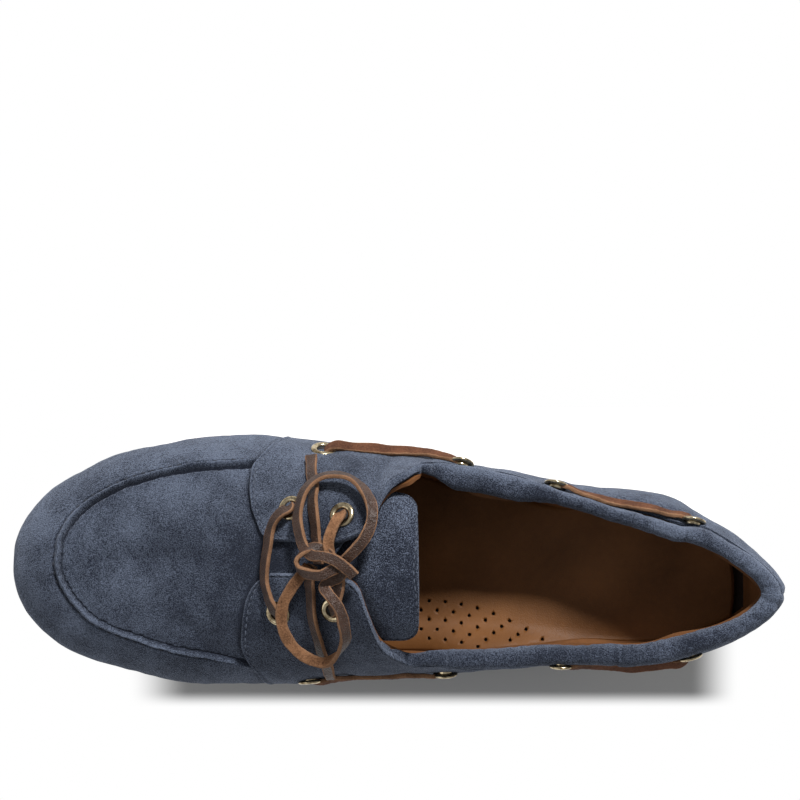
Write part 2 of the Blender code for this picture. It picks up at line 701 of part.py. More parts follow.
def makeSideRun(name, side, start, end, finish, group):
    """A flat stretch of lace on the quarter between two eyelets, with its eyelets."""
    clear = (ringRadius + ringTube + gap) / abs(start[0] - end[0])
    share = np.linspace(clear, 1 - clear, 14)
    ray = rayThrough(mix(start[0], end[0], share), wallAngle)
    height = mix(start[1], end[1], share)
    rises = laceWide * np.array([-0.5, 0, 0.5])
    angle = angleAtHeight(side, ray[:, None], height[:, None] + rises)
    face = layerGap + quarterThick + gap + 0.1
    sheet(
        "side_lace_" + name,
        skin(side, ray[:, None], angle, face + laceThick),
        skin(side, ray[:, None], angle, face),
        finish["lace"],
        group,
    )
    for place, (at, z) in zip(("fore", "aft"), (start, end)):
        ray = float(rayThrough(at, wallAngle))
        angle = float(angleAtHeight(side, ray, z))
        makeEyelet(f"{name}_{place}", side, ray, angle, finish["brass"], group)


def makeKnot(finish, group):
    x, fromHeel, clearance = knotMiddle
    place = toWorld(above([(x, fromHeel, clearance)]))[0]
    bpy.ops.mesh.primitive_uv_sphere_add(segments=12, ring_count=8, radius=0.0005, location=place)
    knot = bpy.context.object
    knot.scale = knotSize
    knot.name = "lace_knot"
    knot.data.materials.append(finish)
    knot.data.shade_smooth()
    for home in list(knot.users_collection):
        home.objects.unlink(knot)
    group.objects.link(knot)


def main():
    clearScene()
    shoe = bpy.data.collections.new("boat shoe")
    bpy.context.scene.collection.children.link(shoe)
    suede = material("blue suede", (0.055, 0.068, 0.100), 0.95)
    rubber = material("sole rubber", (0.72, 0.68, 0.60), 0.55)
    tan = material("tan leather", (0.20, 0.092, 0.041), 0.60)
    lace = material("lace leather", (0.095, 0.051, 0.036), 0.55)
    brass = material("brass", (0.80, 0.60, 0.30), 0.30, 1.0)
    makeUpper(suede, shoe)
    makeOutsole(rubber, shoe)
    makeInsole(tan, shoe)
    makeTongue(suede, shoe)
    makeCollar(suede, shoe)
    makeApronSeam(suede, shoe)
    for side in (lateral, medial):
        makeQuarter(side, suede, shoe)
    for name, (x, fromHeel) in throatEyelets.items():
        makeEyelet(name, *under(x, fromHeel, eyeletLift), brass, shoe)
    for name, (side, start, end) in sideRuns.items():
        makeSideRun(name, side, start, end, {"lace": lace, "brass": brass}, shoe)
    tube("lace_bar", along(above(barRoute), cordStep), cordRadius, 2, lace, shoe)
    makeKnot(lace, shoe)
    for name, route in bowRoutes.items():
        tube(name, along(above(route), cordStep), cordRadius, 2, lace, shoe)


main()
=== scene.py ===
# A right boat shoe in blue suede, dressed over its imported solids.
# Lengths are millimetres on the last: x from the lateral side (-) to the medial side (+),
# fromHeel from the back to the toe, z up. They become metres where a mesh is written.
import json
import math

import bmesh
import bpy
import numpy as np
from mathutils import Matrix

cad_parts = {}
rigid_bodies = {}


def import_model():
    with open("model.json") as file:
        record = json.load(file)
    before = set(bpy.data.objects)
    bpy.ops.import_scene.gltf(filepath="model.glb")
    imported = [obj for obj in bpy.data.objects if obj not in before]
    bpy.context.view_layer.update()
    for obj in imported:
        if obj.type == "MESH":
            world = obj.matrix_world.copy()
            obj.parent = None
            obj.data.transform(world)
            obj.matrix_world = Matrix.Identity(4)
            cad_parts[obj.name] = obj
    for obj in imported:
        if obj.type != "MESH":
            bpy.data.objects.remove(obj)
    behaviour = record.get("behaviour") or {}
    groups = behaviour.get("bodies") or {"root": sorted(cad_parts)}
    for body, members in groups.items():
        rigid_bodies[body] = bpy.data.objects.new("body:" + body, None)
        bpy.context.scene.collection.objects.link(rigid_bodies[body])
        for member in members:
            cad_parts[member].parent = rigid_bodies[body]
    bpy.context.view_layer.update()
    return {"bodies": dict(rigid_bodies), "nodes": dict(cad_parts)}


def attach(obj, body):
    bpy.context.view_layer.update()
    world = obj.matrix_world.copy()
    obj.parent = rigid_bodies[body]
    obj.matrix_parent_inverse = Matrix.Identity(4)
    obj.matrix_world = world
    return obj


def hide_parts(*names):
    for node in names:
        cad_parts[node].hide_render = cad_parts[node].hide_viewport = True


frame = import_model()
root = next(iter(frame["bodies"]))
print("frame loaded:", len(frame["nodes"]), "nodes")

shoe = {
    "length": 256.0, "ball": 176.0, "heelRound": 54.0, "heelFan": 24.0, "toeFan": 50.0,
    "toeSquareness": 2.1, "toeFullness": {-1: 2.65, 1: 2.0}, "heelSquareness": 1.58, "heelBack": 1.95,
    "crownSquareness": 2.3, "soleHeelIn": 4.05, "soleHeelSquareness": 1.85, "featherStep": 1.6, "gap": 0.3,
    "counterSwell": 2.3, "counterAt": 36.5, "counterReach": 12.0, "middle": -0.44,
    "collarDrop": 9.0, "collarEndDrop": 0.35, "collarTaper": 16.0,
}
lateral, medial = -1, 1
sideName = {lateral: "lateral", medial: "medial"}


def sided(word, side):  # the name of a column that each side has its own of
    return word + sideName[side].capitalize()


def table(columns, *rows):
    return {name: np.array([row[i] for row in rows], float) for i, name in enumerate(columns.split())}


# half widths from the spine to the widest line of the vamp and the wall
outline = table(
    "fromHeel lateral medial",
    (54, 27.4, 27.2), (74, 28.8, 28.2), (93, 31.7, 30.6), (108, 33.3, 33.1), (120, 35.0, 35.1),
    (133, 34.8, 37.8), (146, 35.0, 40.0), (160, 37.0, 42.3), (176, 39.2, 43.8),
)
# the spine's sideways place, and the heights of a section: bulge, closed crown on each side
last = table(
    "fromHeel spine bulge crownLateral crownMedial ridge",
    (0, 8.9, 26.0, 88.0, 88.0, 73.0), (25, 7.4, 27.0, 76.0, 80.0, 73.0), (33, 6.8, 27.7, 65.5, 79.5, 73.0),
    (42, 6.1, 28.5, 62.0, 79.0, 73.0), (54, 4.9, 29.5, 60.5, 79.0, 73.0),
    (74, 3.6, 29.5, 65.5, 78.0, 73.0), (93, 2.6, 28.0, 90.0, 75.5, 73.0),
    (108, 1.4, 26.5, 99.0, 73.5, 73.0), (120, 0.2, 25.0, 88.0, 72.5, 72.8),
    (133, -1.7, 23.0, 71.0, 71.0, 71.0), (146, -3.1, 21.5, 66.5, 66.5, 66.5),
    (160, -3.3, 20.0, 60.5, 60.5, 60.5), (176, -3.1, 19.0, 54.0, 54.0, 54.0),
    (200, -2.3, 19.0, 46.0, 46.0, 46.0), (214, -1.8, 19.2, 42.3, 42.3, 42.3),
    (226, -1.0, 19.5, 40.5, 40.5, 40.5), (256, 2.5, 21.0, 40.5, 40.5, 40.5),
)
# heel seat, arch, tread and toe spring, and how far the sole's edge lies inside the bulge
sole = table(
    "fromHeel top bottom edgeInLateral edgeInMedial",
    (0, 18.5, 0.0, 3.4, 3.4), (52, 17.2, 0.0, 3.6, 3.8), (62, 16.0, 0.0, 4.0, 5.0),
    (67, 15.2, 7.6, 4.2, 5.8), (80, 13.2, 6.6, 4.4, 7.0), (95, 10.8, 4.4, 4.4, 7.6),
    (110, 8.8, 2.0, 4.0, 6.4), (123, 7.6, 0.0, 3.6, 4.6), (150, 7.0, 0.0, 3.2, 3.4),
    (190, 7.0, 0.0, 3.0, 3.0), (208, 8.0, 0.9, 3.0, 3.0), (232, 11.0, 4.2, 3.0, 3.0),
    (256, 15.5, 9.2, 3.0, 3.0),
)
collar = table(
    "fromHeel top widthLateral widthMedial",
    (0, 66.0, 6.7, 6.7), (25, 62.5, 5.9, 6.7), (42, 58.5, 4.9, 6.7), (54, 55.5, 4.9, 6.7),
    (74, 51.8, 5.1, 6.7), (93, 50.6, 8.7, 6.7), (108, 52.2, 8.6, 6.7), (120, 55.8, 4.6, 4.6),
)
# section angle of the free edge where the quarters rise from the collar to the throat
throat = table(
    "fromHeel lateral medial",
    (120.0, 29.0, 32.0), (124.5, 38.0, 35.0), (127.0, 43.0, 39.0), (130.0, 50.0, 43.5),
    (133.0, 61.0, 50.9), (135.0, 71.0, 59.5), (137.2, 75.6, 69.0), (140.0, 79.6, 80.0),
    (143.5, 82.5, 83.5), (147.0, 84.0, 85.0),
)
# front edge of each quarter, from the feather to the corner beside the lace
quarterFront = {
    lateral: table(
        "angle fromHeel",
        (-90, 163.5), (0, 165.4), (23, 168.7), (37, 172.1), (47, 175.2), (58, 175.7), (69, 174.9),
        (75, 173.4), (81, 171.6), (84.5, 169.3),
    ),
    medial: table(
        "angle fromHeel",
        (-90, 166.0), (0, 170.0), (20, 172.1), (33, 174.2), (45, 177.5), (53, 178.7), (64, 178.1),
        (73, 177.0), (79, 175.0), (82.5, 172.4), (85, 168.6),
    ),
}
# the apron seam: share of the way from ball to toe, and share of the half width
apron = table(
    "ahead lateral medial",
    (0.0, 0.786, 0.812), (0.11, 0.780, 0.780), (0.27, 0.779, 0.745), (0.42, 0.767, 0.722),
    (0.55, 0.745, 0.696), (0.65, 0.724, 0.678), (0.76, 0.692, 0.636), (0.845, 0.642, 0.572),
    (0.91, 0.577, 0.522), (0.96, 0.518, 0.480), (1.0, 0.455, 0.452),
)

# side laces: side, distance from the heel and height of both ends, how far the strip faces up at each
sideRuns = {
    "lateral_front": (lateral, (152, 41.0), (107, 43.0), (1.3, 0.3)),
    "lateral_rear": (lateral, (76, 43.0), (31, 52.5), (-0.1, -0.1)),
    "medial_front": (medial, (156.5, 34.0), (112, 36.5), (0.0, 0.0)),
    "medial_rear": (medial, (74, 46.0), (33, 52.0), (0.1, 1.2)),
}


def follow(rows, column, at, key="fromHeel"):  # a smooth line through the rows that never overshoots
    x, y = rows[key], rows[column]
    at = np.clip(np.asarray(at, float), x[0], x[-1])
    rise = np.diff(y) / np.diff(x)
    slope = np.zeros(len(x))
    level = rise[:-1] * rise[1:] <= 0
    slope[1:-1] = np.where(level, 0, 2 * rise[:-1] * rise[1:] / np.where(level, 1, rise[:-1] + rise[1:]))
    i = np.clip(np.searchsorted(x, at, side="right") - 1, 0, len(x) - 2)
    run = x[i + 1] - x[i]
    t = (at - x[i]) / run
    near = (1 + 2 * t) * (1 - t) ** 2 * y[i] + t * (1 - t) ** 2 * run * slope[i]
    return near + t * t * (3 - 2 * t) * y[i + 1] + t * t * (t - 1) * run * slope[i + 1]


def mix(a, b, t):
    return a + (b - a) * t


def smooth(low, high, value):
    t = np.clip((np.asarray(value, float) - low) / (high - low), 0, 1)
    return t * t * (3 - 2 * t)


def bell(value, middle, width):
    return np.exp(-(((value - middle) / width) ** 2))


def power(value, exponent):
    return np.clip(value, 0, None) ** exponent


def rayAt(fromHeel):  # 0 at the heel, 1 where the round heel meets the side, 2 at the ball, 3 at the toe
    return 1 + (fromHeel - shoe["heelRound"]) / (shoe["ball"] - shoe["heelRound"])


def toeShare(ray):  # share of the way from the ball to the toe
    return power(np.sin(np.clip(ray - 2, 0, 1) * math.pi / 2), 2 / shoe["toeSquareness"])


def plan(side, ray, inset=0.0, heelIn=shoe["heelBack"], heelShape=shoe["heelSquareness"]):
    ray = np.asarray(ray, float)
    back = np.clip(1 - ray, 0, 1) * math.pi / 2
    front = np.clip(ray - 2, 0, 1) * math.pi / 2
    middle = mix(shoe["heelRound"], shoe["ball"], np.clip(ray - 1, 0, 1))
    edgeAt = middle - (shoe["heelRound"] - heelIn) * power(np.sin(back), 2 / heelShape)
    edgeAt = edgeAt + (shoe["length"] - shoe["ball"] - inset) * toeShare(ray)
    spineAt = middle - shoe["heelFan"] * power(np.sin(back), 2 / shoe["heelSquareness"])
    spineAt = spineAt + shoe["toeFan"] * toeShare(ray)
    half = follow(outline, sideName[side], middle) - inset
    if side == lateral and not np.any(inset):
        half = half + shoe["counterSwell"] * bell(edgeAt, shoe["counterAt"], shoe["counterReach"])
    half = half * power(np.cos(back), 2 / heelShape) * power(np.cos(front), 2 / shoe["toeFullness"][side])
    edge = np.stack([follow(last, "spine", edgeAt) + side * half, edgeAt], -1)
    return edge, np.stack([follow(last, "spine", spineAt), spineAt], -1)


def solePlan(side, ray, more=0.0):
    middle = mix(shoe["heelRound"], shoe["ball"], np.clip(np.asarray(ray, float) - 1, 0, 1))
    inset = follow(sole, sided("edgeIn", side), middle) + more
    return plan(side, ray, inset, shoe["soleHeelIn"] + more, shoe["soleHeelSquareness"])


def crownHeight(side, edgeAt, spineAt, bridged=False):
    at = np.where(spineAt > shoe["ball"], spineAt, edgeAt)
    return follow(last, "ridge" if bridged else sided("crown", side), at)


def lastPoint(side, ray, angle, bridged=False):  # tucks in to the feather below angle 0, arches above it
    ray, angle = np.broadcast_arrays(np.asarray(ray, float), np.asarray(angle, float))
    edge, spine = plan(side, ray)
    bulge = follow(last, "bulge", edge[..., 1])
    foot = follow(sole, "top", edge[..., 1]) + shoe["gap"]
    tuck = np.clip(-angle / 90, 0, 1)
    lift = np.radians(np.clip(angle, 0, 90))
    out = power(np.cos(lift), 2 / shoe["crownSquareness"])
    up = power(np.sin(lift), 2 / shoe["crownSquareness"])
    crown = crownHeight(side, edge[..., 1], spine[..., 1], bridged)
    feather = solePlan(side, ray, shoe["featherStep"])[0]
    flat = mix(spine, edge, out[..., None]) + (feather - edge) * (tuck**2)[..., None]
    z = mix(bulge, crown, up) - (bulge - foot) * tuck
    return np.concatenate([flat, z[..., None]], -1)


def lastNormal(side, ray, angle, bridged=False):
    ray, angle = np.broadcast_arrays(np.asarray(ray, float), np.asarray(angle, float))
    dRay, dAngle = 0.02, 1.0
    fore = lastPoint(side, np.clip(ray + dRay, 0, 3), angle, bridged)
    fore = fore - lastPoint(side, np.clip(ray - dRay, 0, 3), angle, bridged)
    rise = lastPoint(side, ray, np.clip(angle + dAngle, -90, 90), bridged)
    rise = rise - lastPoint(side, ray, angle - dAngle, bridged)
    atCrown = angle > 89.5
    rise = np.where(atCrown[..., None], np.array([-side, 0.0, 0.0]), rise)
    atEnd = (ray < dRay) | (ray > 3 - dRay)
    across = np.array([side, 0.0, 0.0]) * np.sign(1.5 - ray)[..., None]
    fore = np.where((atEnd & ~atCrown)[..., None], across, fore)
    normal = np.cross(fore, rise) * side
    return normal / np.linalg.norm(normal, axis=-1, keepdims=True)


def skin(side, ray, angle, out=0.0, bridged=False):
    normal = lastNormal(side, ray, angle, bridged)
    return lastPoint(side, ray, angle, bridged) + normal * np.asarray(out, float)[..., None]


def rayThrough(fromHeel, angle):
    out = power(np.cos(np.radians(np.clip(angle, 0, 90))), 2 / shoe["crownSquareness"])
    ahead = shoe["toeFan"] + (shoe["length"] - shoe["ball"] - shoe["toeFan"]) * out
    behind = shoe["heelFan"] + (shoe["heelRound"] - shoe["heelBack"] - shoe["heelFan"]) * out
    front = power((fromHeel - shoe["ball"]) / ahead, shoe["toeSquareness"] / 2)
    back = power((shoe["heelRound"] - fromHeel) / behind, shoe["heelSquareness"] / 2)
    middle = rayAt(np.clip(fromHeel, shoe["heelRound"], shoe["ball"]))
    return middle + (np.arcsin(np.clip(front, 0, 1)) - np.arcsin(np.clip(back, 0, 1))) * 2 / math.pi


def angleAtHeight(side, ray, z):
    edge, spine = plan(side, ray)
    bulge = follow(last, "bulge", edge[..., 1])
    up = (z - bulge) / (crownHeight(side, edge[..., 1], spine[..., 1]) - bulge)
    return np.degrees(np.arcsin(np.clip(power(up, shoe["crownSquareness"] / 2), 0, 1)))


def drop(fromHeel):  # how far the wall stops below the collar's top
    t = smooth(0, shoe["collarTaper"], throat["fromHeel"][0] - fromHeel)
    return shoe["collarDrop"] * mix(shoe["collarEndDrop"], 1, t)


def freeEdge(side, ray, recess=0.0, raised=0.0):
    edgeAt = plan(side, ray)[0][..., 1]
    belowCollar = angleAtHeight(side, ray, follow(collar, "top", edgeAt) - drop(edgeAt) + raised)
    rising = follow(throat, sideName[side], edgeAt - recess)
    angle = np.where(edgeAt < throat["fromHeel"][0], belowCollar, rising)
    return np.where(isOpen(edgeAt), angle, 90.0)


def isOpen(fromHeel):  # True where the foot's opening or the throat parts the upper
    return fromHeel <= throat["fromHeel"][-1] + 1


def over(x, fromHeel):  # the side, ray and angle straight above a place in plan
    spine = float(follow(last, "spine", fromHeel))
    side = medial if x > spine else lateral
    out = abs(x - spine) / float(follow(outline, sideName[side], fromHeel))
    return side, rayAt(fromHeel), math.degrees(math.acos(min(out, 1) ** (shoe["crownSquareness"] / 2)))


def under(x, fromHeel, clearance):  # the same for a place held off square to the surface
    footX, footAt = x, fromHeel
    rounds, stride = 8, 0.8
    for _ in range(rounds):
        side, ray, angle = over(footX, footAt)
        reached = skin(side, ray, angle, clearance)
        footX += stride * (x - reached[0])
        footAt += stride * (fromHeel - reached[1])
    return side, ray, angle


def toWorld(points):
    points = np.asarray(points, float)
    x, y = points[..., 0] - shoe["middle"], shoe["length"] / 2 - points[..., 1]
    return np.stack([x, y, points[..., 2]], -1) / 1000


def toLast(points):  # the way back, from world places in millimetres
    x, y = points[..., 0] + shoe["middle"], shoe["length"] / 2 - points[..., 1]
    return np.stack([x, y, points[..., 2]], -1)


def turned(vectors):  # a direction on the last as a direction in the world
    return np.asarray(vectors, float) * np.array([1, -1, 1])


def waves(points, length, seed, count=14):  # a smooth random swell of about unit size
    draw = np.random.default_rng(seed)
    way = draw.normal(size=(count, 3))
    way *= (2 * math.pi / (length * draw.uniform(0.7, 1.5, count)) / np.linalg.norm(way, axis=1))[:, None]
    return np.sin(points @ way.T + draw.uniform(0, 2 * math.pi, count)).sum(-1) * math.sqrt(2 / count)


def creases(flat, rows):  # grooves along lines of a plane, each with a puffed lip on both sides
    total = np.zeros(flat.shape[:-1])
    lip = 0.35
    for ax, ay, bx, by, width, depth in rows:
        start, way = np.array([ax, ay]), np.array([bx - ax, by - ay])
        along = np.clip((flat - start) @ way / (way @ way), 0, 1)
        off = np.linalg.norm(flat - start - along[..., None] * way, axis=-1)
        total += depth * (lip * bell(off, 2 * width, width) - bell(off, 0, width))
    return total


def shades(points, rows):  # soft spots in plan: across, from the heel, reach, and how much lighter
    x, at = points[..., 0], points[..., 1]
    return sum(gain * bell(np.hypot(x - spotX, at - spotAt), 0, wide) for spotX, spotAt, wide, gain in rows)


def bentLength(points, axis):  # length run along one axis of a grid of points
    step = np.linalg.norm(np.diff(points, axis=axis), axis=-1)
    start = np.zeros_like(np.take(step, [0], axis=axis))
    return np.concatenate([start, np.cumsum(step, axis=axis)], axis)


def halfRays(heelCount, sideCount, toeCount, turn=1.9):  # one side's rays from the heel to the toe
    heel, sides = np.linspace(0, 1, heelCount)[:-1], np.linspace(1, turn, sideCount)[:-1]
    return np.concatenate([heel, sides, turn + (3 - turn) * np.linspace(0, 1, toeCount)])


def inwardWay(side, rays):
    edge, spine = plan(side, rays)
    return unit(spine - edge)


def roundTheShoe(half):  # lateral columns from heel to toe, medial columns back to the heel
    return [np.concatenate([one, other[-2:0:-1]]) for one, other in zip(half(lateral), half(medial))]


def throughRows(route, step):  # a smooth curve through a route, resampled by its length
    points = np.asarray(route, float)
    ends = np.concatenate([[2 * points[0] - points[1]], points, [2 * points[-1] - points[-2]]])
    t = np.linspace(0, 1, 24, endpoint=False)[:, None]
    fine = []
    for a, b, c, d in zip(ends, ends[1:], ends[2:], ends[3:]):
        bend = (2 * a - 5 * b + 4 * c - d) * t**2 + (3 * b - a - 3 * c + d) * t**3
        fine.append(0.5 * (2 * b + (c - a) * t + bend))
    fine = np.concatenate(fine + [points[-1:]])
    length = np.concatenate([[0], np.cumsum(np.linalg.norm(np.diff(fine[:, :3], axis=0), axis=1))])
    at = np.linspace(0, length[-1], max(3, round(length[-1] / step) + 1))
    return np.stack([np.interp(at, length, fine[:, k]) for k in range(points.shape[1])], -1)


def unit(vectors):
    return vectors / np.maximum(np.linalg.norm(vectors, axis=-1, keepdims=True), 1e-9)


def gridFaces(columns, rows, first=0, around=False, turnedRound=False):
    i = np.arange(columns if around else columns - 1)[:, None]
    j = np.arange(rows - 1)[None]
    a, b = i * rows + j, (i + 1) % columns * rows + j
    quads = np.stack([a, b, b + 1, a + 1], -1).reshape(-1, 4) + first
    return quads[:, ::-1] if turnedRound else quads


def tubeFaces(count, sides, wallsTurned=False):  # rings joined in a row, with both ends closed
    i, j = np.arange(count - 1)[:, None], np.arange(sides)
    a, b = i * sides + j, i * sides + (j + 1) % sides
    corners = [a, b, b + sides, a + sides] if wallsTurned else [a, a + sides, b + sides, b]
    faces = np.stack(corners, -1).reshape(-1, 4).tolist()
    return faces + [list(range(sides)), list(range(count * sides - 1, (count - 1) * sides - 1, -1))]


class Socket:  # one output of a shader node, with arithmetic
    def __init__(self, maker, link):
        self.maker, self.link = maker, link

    def calc(self, operation, *values):
        return self.maker.add("ShaderNodeMath", {"operation": operation}, dict(enumerate(values)))

    def __add__(self, other):
        return self.calc("ADD", self, other)

    def __mul__(self, other):
        return self.calc("MULTIPLY", self, other)

    def __sub__(self, other):
        return self.calc("SUBTRACT", self, other)

    def __rsub__(self, other):
        return self.calc("SUBTRACT", other, self)

    __radd__, __rmul__ = __add__, __mul__

    def ramp(self, low, high):  # 0 at low, 1 at high
        ends = {"Value": self, "From Min": low, "From Max": high}
        return self.maker.add("ShaderNodeMapRange", {"interpolation_type": "SMOOTHSTEP"}, ends)

    def swing(self, gain):  # a noise about its middle
        return (self - 0.5) * gain


class Tree:  # nodes of a material or of a shape
    def add(self, kind, settings=None, values=None, output=0):
        node = self.tree.nodes.new(kind)
        for name, value in (settings or {}).items():
            setattr(node, name, value)
        for name, value in (values or {}).items():
            if isinstance(value, Socket):
                self.tree.links.new(value.link, node.inputs[name])
            else:
                node.inputs[name].default_value = value
        return Socket(self, node.outputs[output])


class Finish(Tree):  # one material and its nodes
    def __init__(self, name, **fixed):
        self.material = bpy.data.materials.new(name)
        self.material.use_nodes = True
        self.tree = self.material.node_tree
        self.shader = self.tree.nodes["Principled BSDF"]
        for socket, value in fixed.items():
            self.shader.inputs[socket.replace("_", " ")].default_value = value
        self.place = self.add("ShaderNodeTexCoord", output="Object")

    def noise(self, size, detail=3.0, roughness=0.55, place=None, distortion=0.0):  # size in metres
        values = {"Vector": place or self.place, "Scale": 1 / size, "Detail": detail}
        values |= {"Roughness": roughness, "Distortion": distortion}
        return self.add("ShaderNodeTexNoise", None, values)

    def cells(self, size, place=None, feature="F1"):
        values = {"Vector": place or self.place, "Scale": 1 / size}
        return self.add("ShaderNodeTexVoronoi", {"feature": feature}, values)

    def stretched(self, scale):
        return self.add("ShaderNodeMapping", None, {"Vector": self.place, "Scale": scale})

    def attribute(self, name):
        return self.add("ShaderNodeAttribute", {"attribute_name": name}, output="Fac")

    def blend(self, factor, first, second):
        values = {0: factor, 6: as4(first), 7: as4(second)}
        return self.add("ShaderNodeMix", {"data_type": "RGBA", "clamp_factor": True}, values, output=2)

    def to(self, socket, value):
        self.tree.links.new(value.link, self.shader.inputs[socket])

    def bump(self, height, distance, strength=1.0):  # distance in metres
        values = {"Height": height, "Distance": distance, "Strength": strength}
        self.to("Normal", self.add("ShaderNodeBump", None, values))


def as4(colour):
    return colour if isinstance(colour, Socket) else (*colour, 1.0)


suedeLook = {  # pattern sizes in metres, and how strongly each shows
    "dark": (0.011, 0.014, 0.024), "light": (0.108, 0.130, 0.180), "sheen": 0.25, "napDepth": 0.00025,
    "nap": 0.00036, "tuft": 0.0012, "brushed": 0.0070, "mottle": 0.014, "blotch": 0.028,
    "napGain": 0.80, "tuftGain": 0.14, "brushedGain": 0.60, "mottleGain": 0.5, "blotchGain": 0.85,
    "rakingNapGain": 0.5, "middleTone": 0.40,
}


def suedeFinish(name, look, shade=0.0, speckle=1.0):
    made = Finish(
        name, Roughness=0.96, Sheen_Weight=look["sheen"], Sheen_Roughness=0.45,
        Sheen_Tint=(0.62, 0.70, 0.88, 1), Specular_IOR_Level=0.15,
    )
    blotch = made.noise(look["blotch"], 3, 0.6)
    brushed = made.noise(look["brushed"], 4, 0.65, distortion=0.5)
    nap = made.noise(look["nap"], 1, 0.6).ramp(0.30, 0.70)
    tuft = made.noise(look["tuft"], 2, 0.6).ramp(0.28, 0.72)
    tone = made.attribute("tone")
    mottle = made.noise(look["mottle"], 2, 0.5, distortion=0.8)
    lightness = brushed.swing(look["brushedGain"]) + nap.swing(look["napGain"] * speckle)
    lightness = lightness + tuft.swing(look["tuftGain"] * speckle)
    # painted light: the nap's speckle is stronger on steep faces, as under raking light
    lightness = lightness * (made.attribute("rakingNap") * look["rakingNapGain"] + 1)
    lightness = lightness + blotch.swing(look["blotchGain"]) + mottle.swing(look["mottleGain"])
    made.to("Base Color", made.blend(lightness + tone + (look["middleTone"] + shade), look["dark"], look["light"]))
    made.bump(nap * 0.55 + tuft * 0.35 + brushed * 0.6, look["napDepth"] * 2, 0.9)
    return made.material


def leatherFinish(name, dark, light, grain, roughness, depth, shine, coat=0.0):
    made = Finish(name, Coat_Roughness=0.35, Coat_Weight=coat, Specular_IOR_Level=shine)
    blotch = made.noise(0.022, 4, 0.6)
    pores = made.cells(grain)
    fine = made.noise(grain * 0.7, 3, 0.6)
    wrinkle = made.noise(grain * 5, 4, 0.65)
    tone = made.attribute("tone")
    lightness = blotch.swing(0.8) + wrinkle.swing(0.35) + fine.swing(0.35) + tone + 0.5
    made.to("Base Color", made.blend(lightness, dark, light))
    made.to("Roughness", fine.swing(0.3) + wrinkle.swing(0.2) + roughness)
    made.bump(pores.ramp(0.0, 0.6) * 0.6 + fine * 0.5 + wrinkle, depth * 2, 0.8)
    return made.material


def fleshFinish(name, dark, light):  # the rough side of a leather strip
    made = Finish(name, Roughness=0.9, Specular_IOR_Level=0.2)
    blotch = made.noise(0.006, 3, 0.6)
    fibre = made.noise(0.0006, 3, 0.75)
    tone = made.attribute("tone")
    made.to("Base Color", made.blend(blotch.swing(0.7) + fibre.swing(1.5) + tone + 0.5, dark, light))
    made.bump(fibre, 0.0005, 1.0)
    return made.material


def rubberFinish(name, dark, light):
    made = Finish(name, Specular_IOR_Level=0.35)
    blotch = made.noise(0.035, 4, 0.6)
    speck = made.noise(0.0009, 2, 0.6)
    scuff = made.noise(0.004, 4, 0.7, made.stretched((1.0, 0.25, 2.5)))
    tone = made.attribute("tone")
    lightness = blotch.swing(0.5) + speck.swing(0.25) + scuff.swing(0.5) + tone + 0.75
    made.to("Base Color", made.blend(lightness, dark, light))
    made.to("Roughness", scuff.swing(0.35) + 0.62)
    made.bump(speck + scuff * 0.6, 0.00012, 0.7)
    return made.material


def brassFinish(name):
    made = Finish(name, Metallic=1.0)
    tarnishAndReflection = made.noise(0.002, 3, 0.6)
    # the dark patches are tarnish and painted dark reflection
    made.to("Base Color", made.blend(tarnishAndReflection.ramp(0.35, 0.70), (0.60, 0.50, 0.33), (0.16, 0.115, 0.06)))
    made.to("Roughness", tarnishAndReflection * 0.25 + 0.10)
    made.bump(made.noise(0.0012, 2), 0.00004, 0.4)
    return made.material


def threadFinish(name, dark, light):
    made = Finish(name, Roughness=0.8)
    strand = made.noise(0.0007, 2, 0.6)
    made.to("Base Color", made.blend(strand, dark, light))
    made.bump(strand, 0.0001, 0.6)
    return made.material


finish = {
    "suede": suedeFinish("blue suede", suedeLook),
    # the tongue's suede, darkened as painted shade: the tongue lies sunk under the facings
    "shadedTongueSuede": suedeFinish("tongue suede with painted shade", suedeLook, shade=-0.32, speckle=1.9),
    "lining": leatherFinish(
        "lining leather", (0.066, 0.026, 0.009), (0.20, 0.085, 0.032),
        grain=0.0006, roughness=0.55, depth=0.00005, shine=0.16,
    ),
    "sock": leatherFinish(
        "insole leather", (0.068, 0.026, 0.007), (0.180, 0.075, 0.024),
        grain=0.0005, roughness=0.50, depth=0.00004, shine=0.14,
    ),
    "grain": leatherFinish(
        "lace grain", (0.008, 0.0035, 0.0022), (0.070, 0.035, 0.022),
        grain=0.0006, roughness=0.40, depth=0.00028, shine=0.32, coat=0.04,
    ),
    "flesh": fleshFinish("lace flesh side", (0.040, 0.015, 0.006), (0.300, 0.150, 0.075)),
    "cut": fleshFinish("lace cut edge", (0.090, 0.042, 0.022), (0.26, 0.140, 0.076)),
    "sideGrain": fleshFinish("side lace face", (0.036, 0.014, 0.008), (0.150, 0.062, 0.032)),
    "rubber": rubberFinish("sole rubber", (0.43, 0.39, 0.325), (0.67, 0.63, 0.56)),
    "brass": brassFinish("polished brass"),
    "thread": threadFinish("navy thread", (0.018, 0.023, 0.038), (0.105, 0.125, 0.170)),
    "paleThread": threadFinish("pale thread", (0.36, 0.32, 0.25), (0.66, 0.61, 0.50)),
    "darkThread": threadFinish("dark thread", (0.008, 0.010, 0.017), (0.035, 0.042, 0.060)),
    # near-black brown: painted shade in holes and crevices
    "creviceShade": threadFinish("painted crevice shade", (0.012, 0.006, 0.003), (0.030, 0.014, 0.008)),
    # a near-black disc's finish: painted shade in the eyelets' holes
    "hollow": threadFinish("dark hollow", (0.004, 0.004, 0.006), (0.008, 0.008, 0.010)),
}
print("finishes made")


def stand(name, data):  # a new object in the scene
    thing = bpy.data.objects.new(name, data)
    bpy.context.scene.collection.objects.link(thing)
    return thing


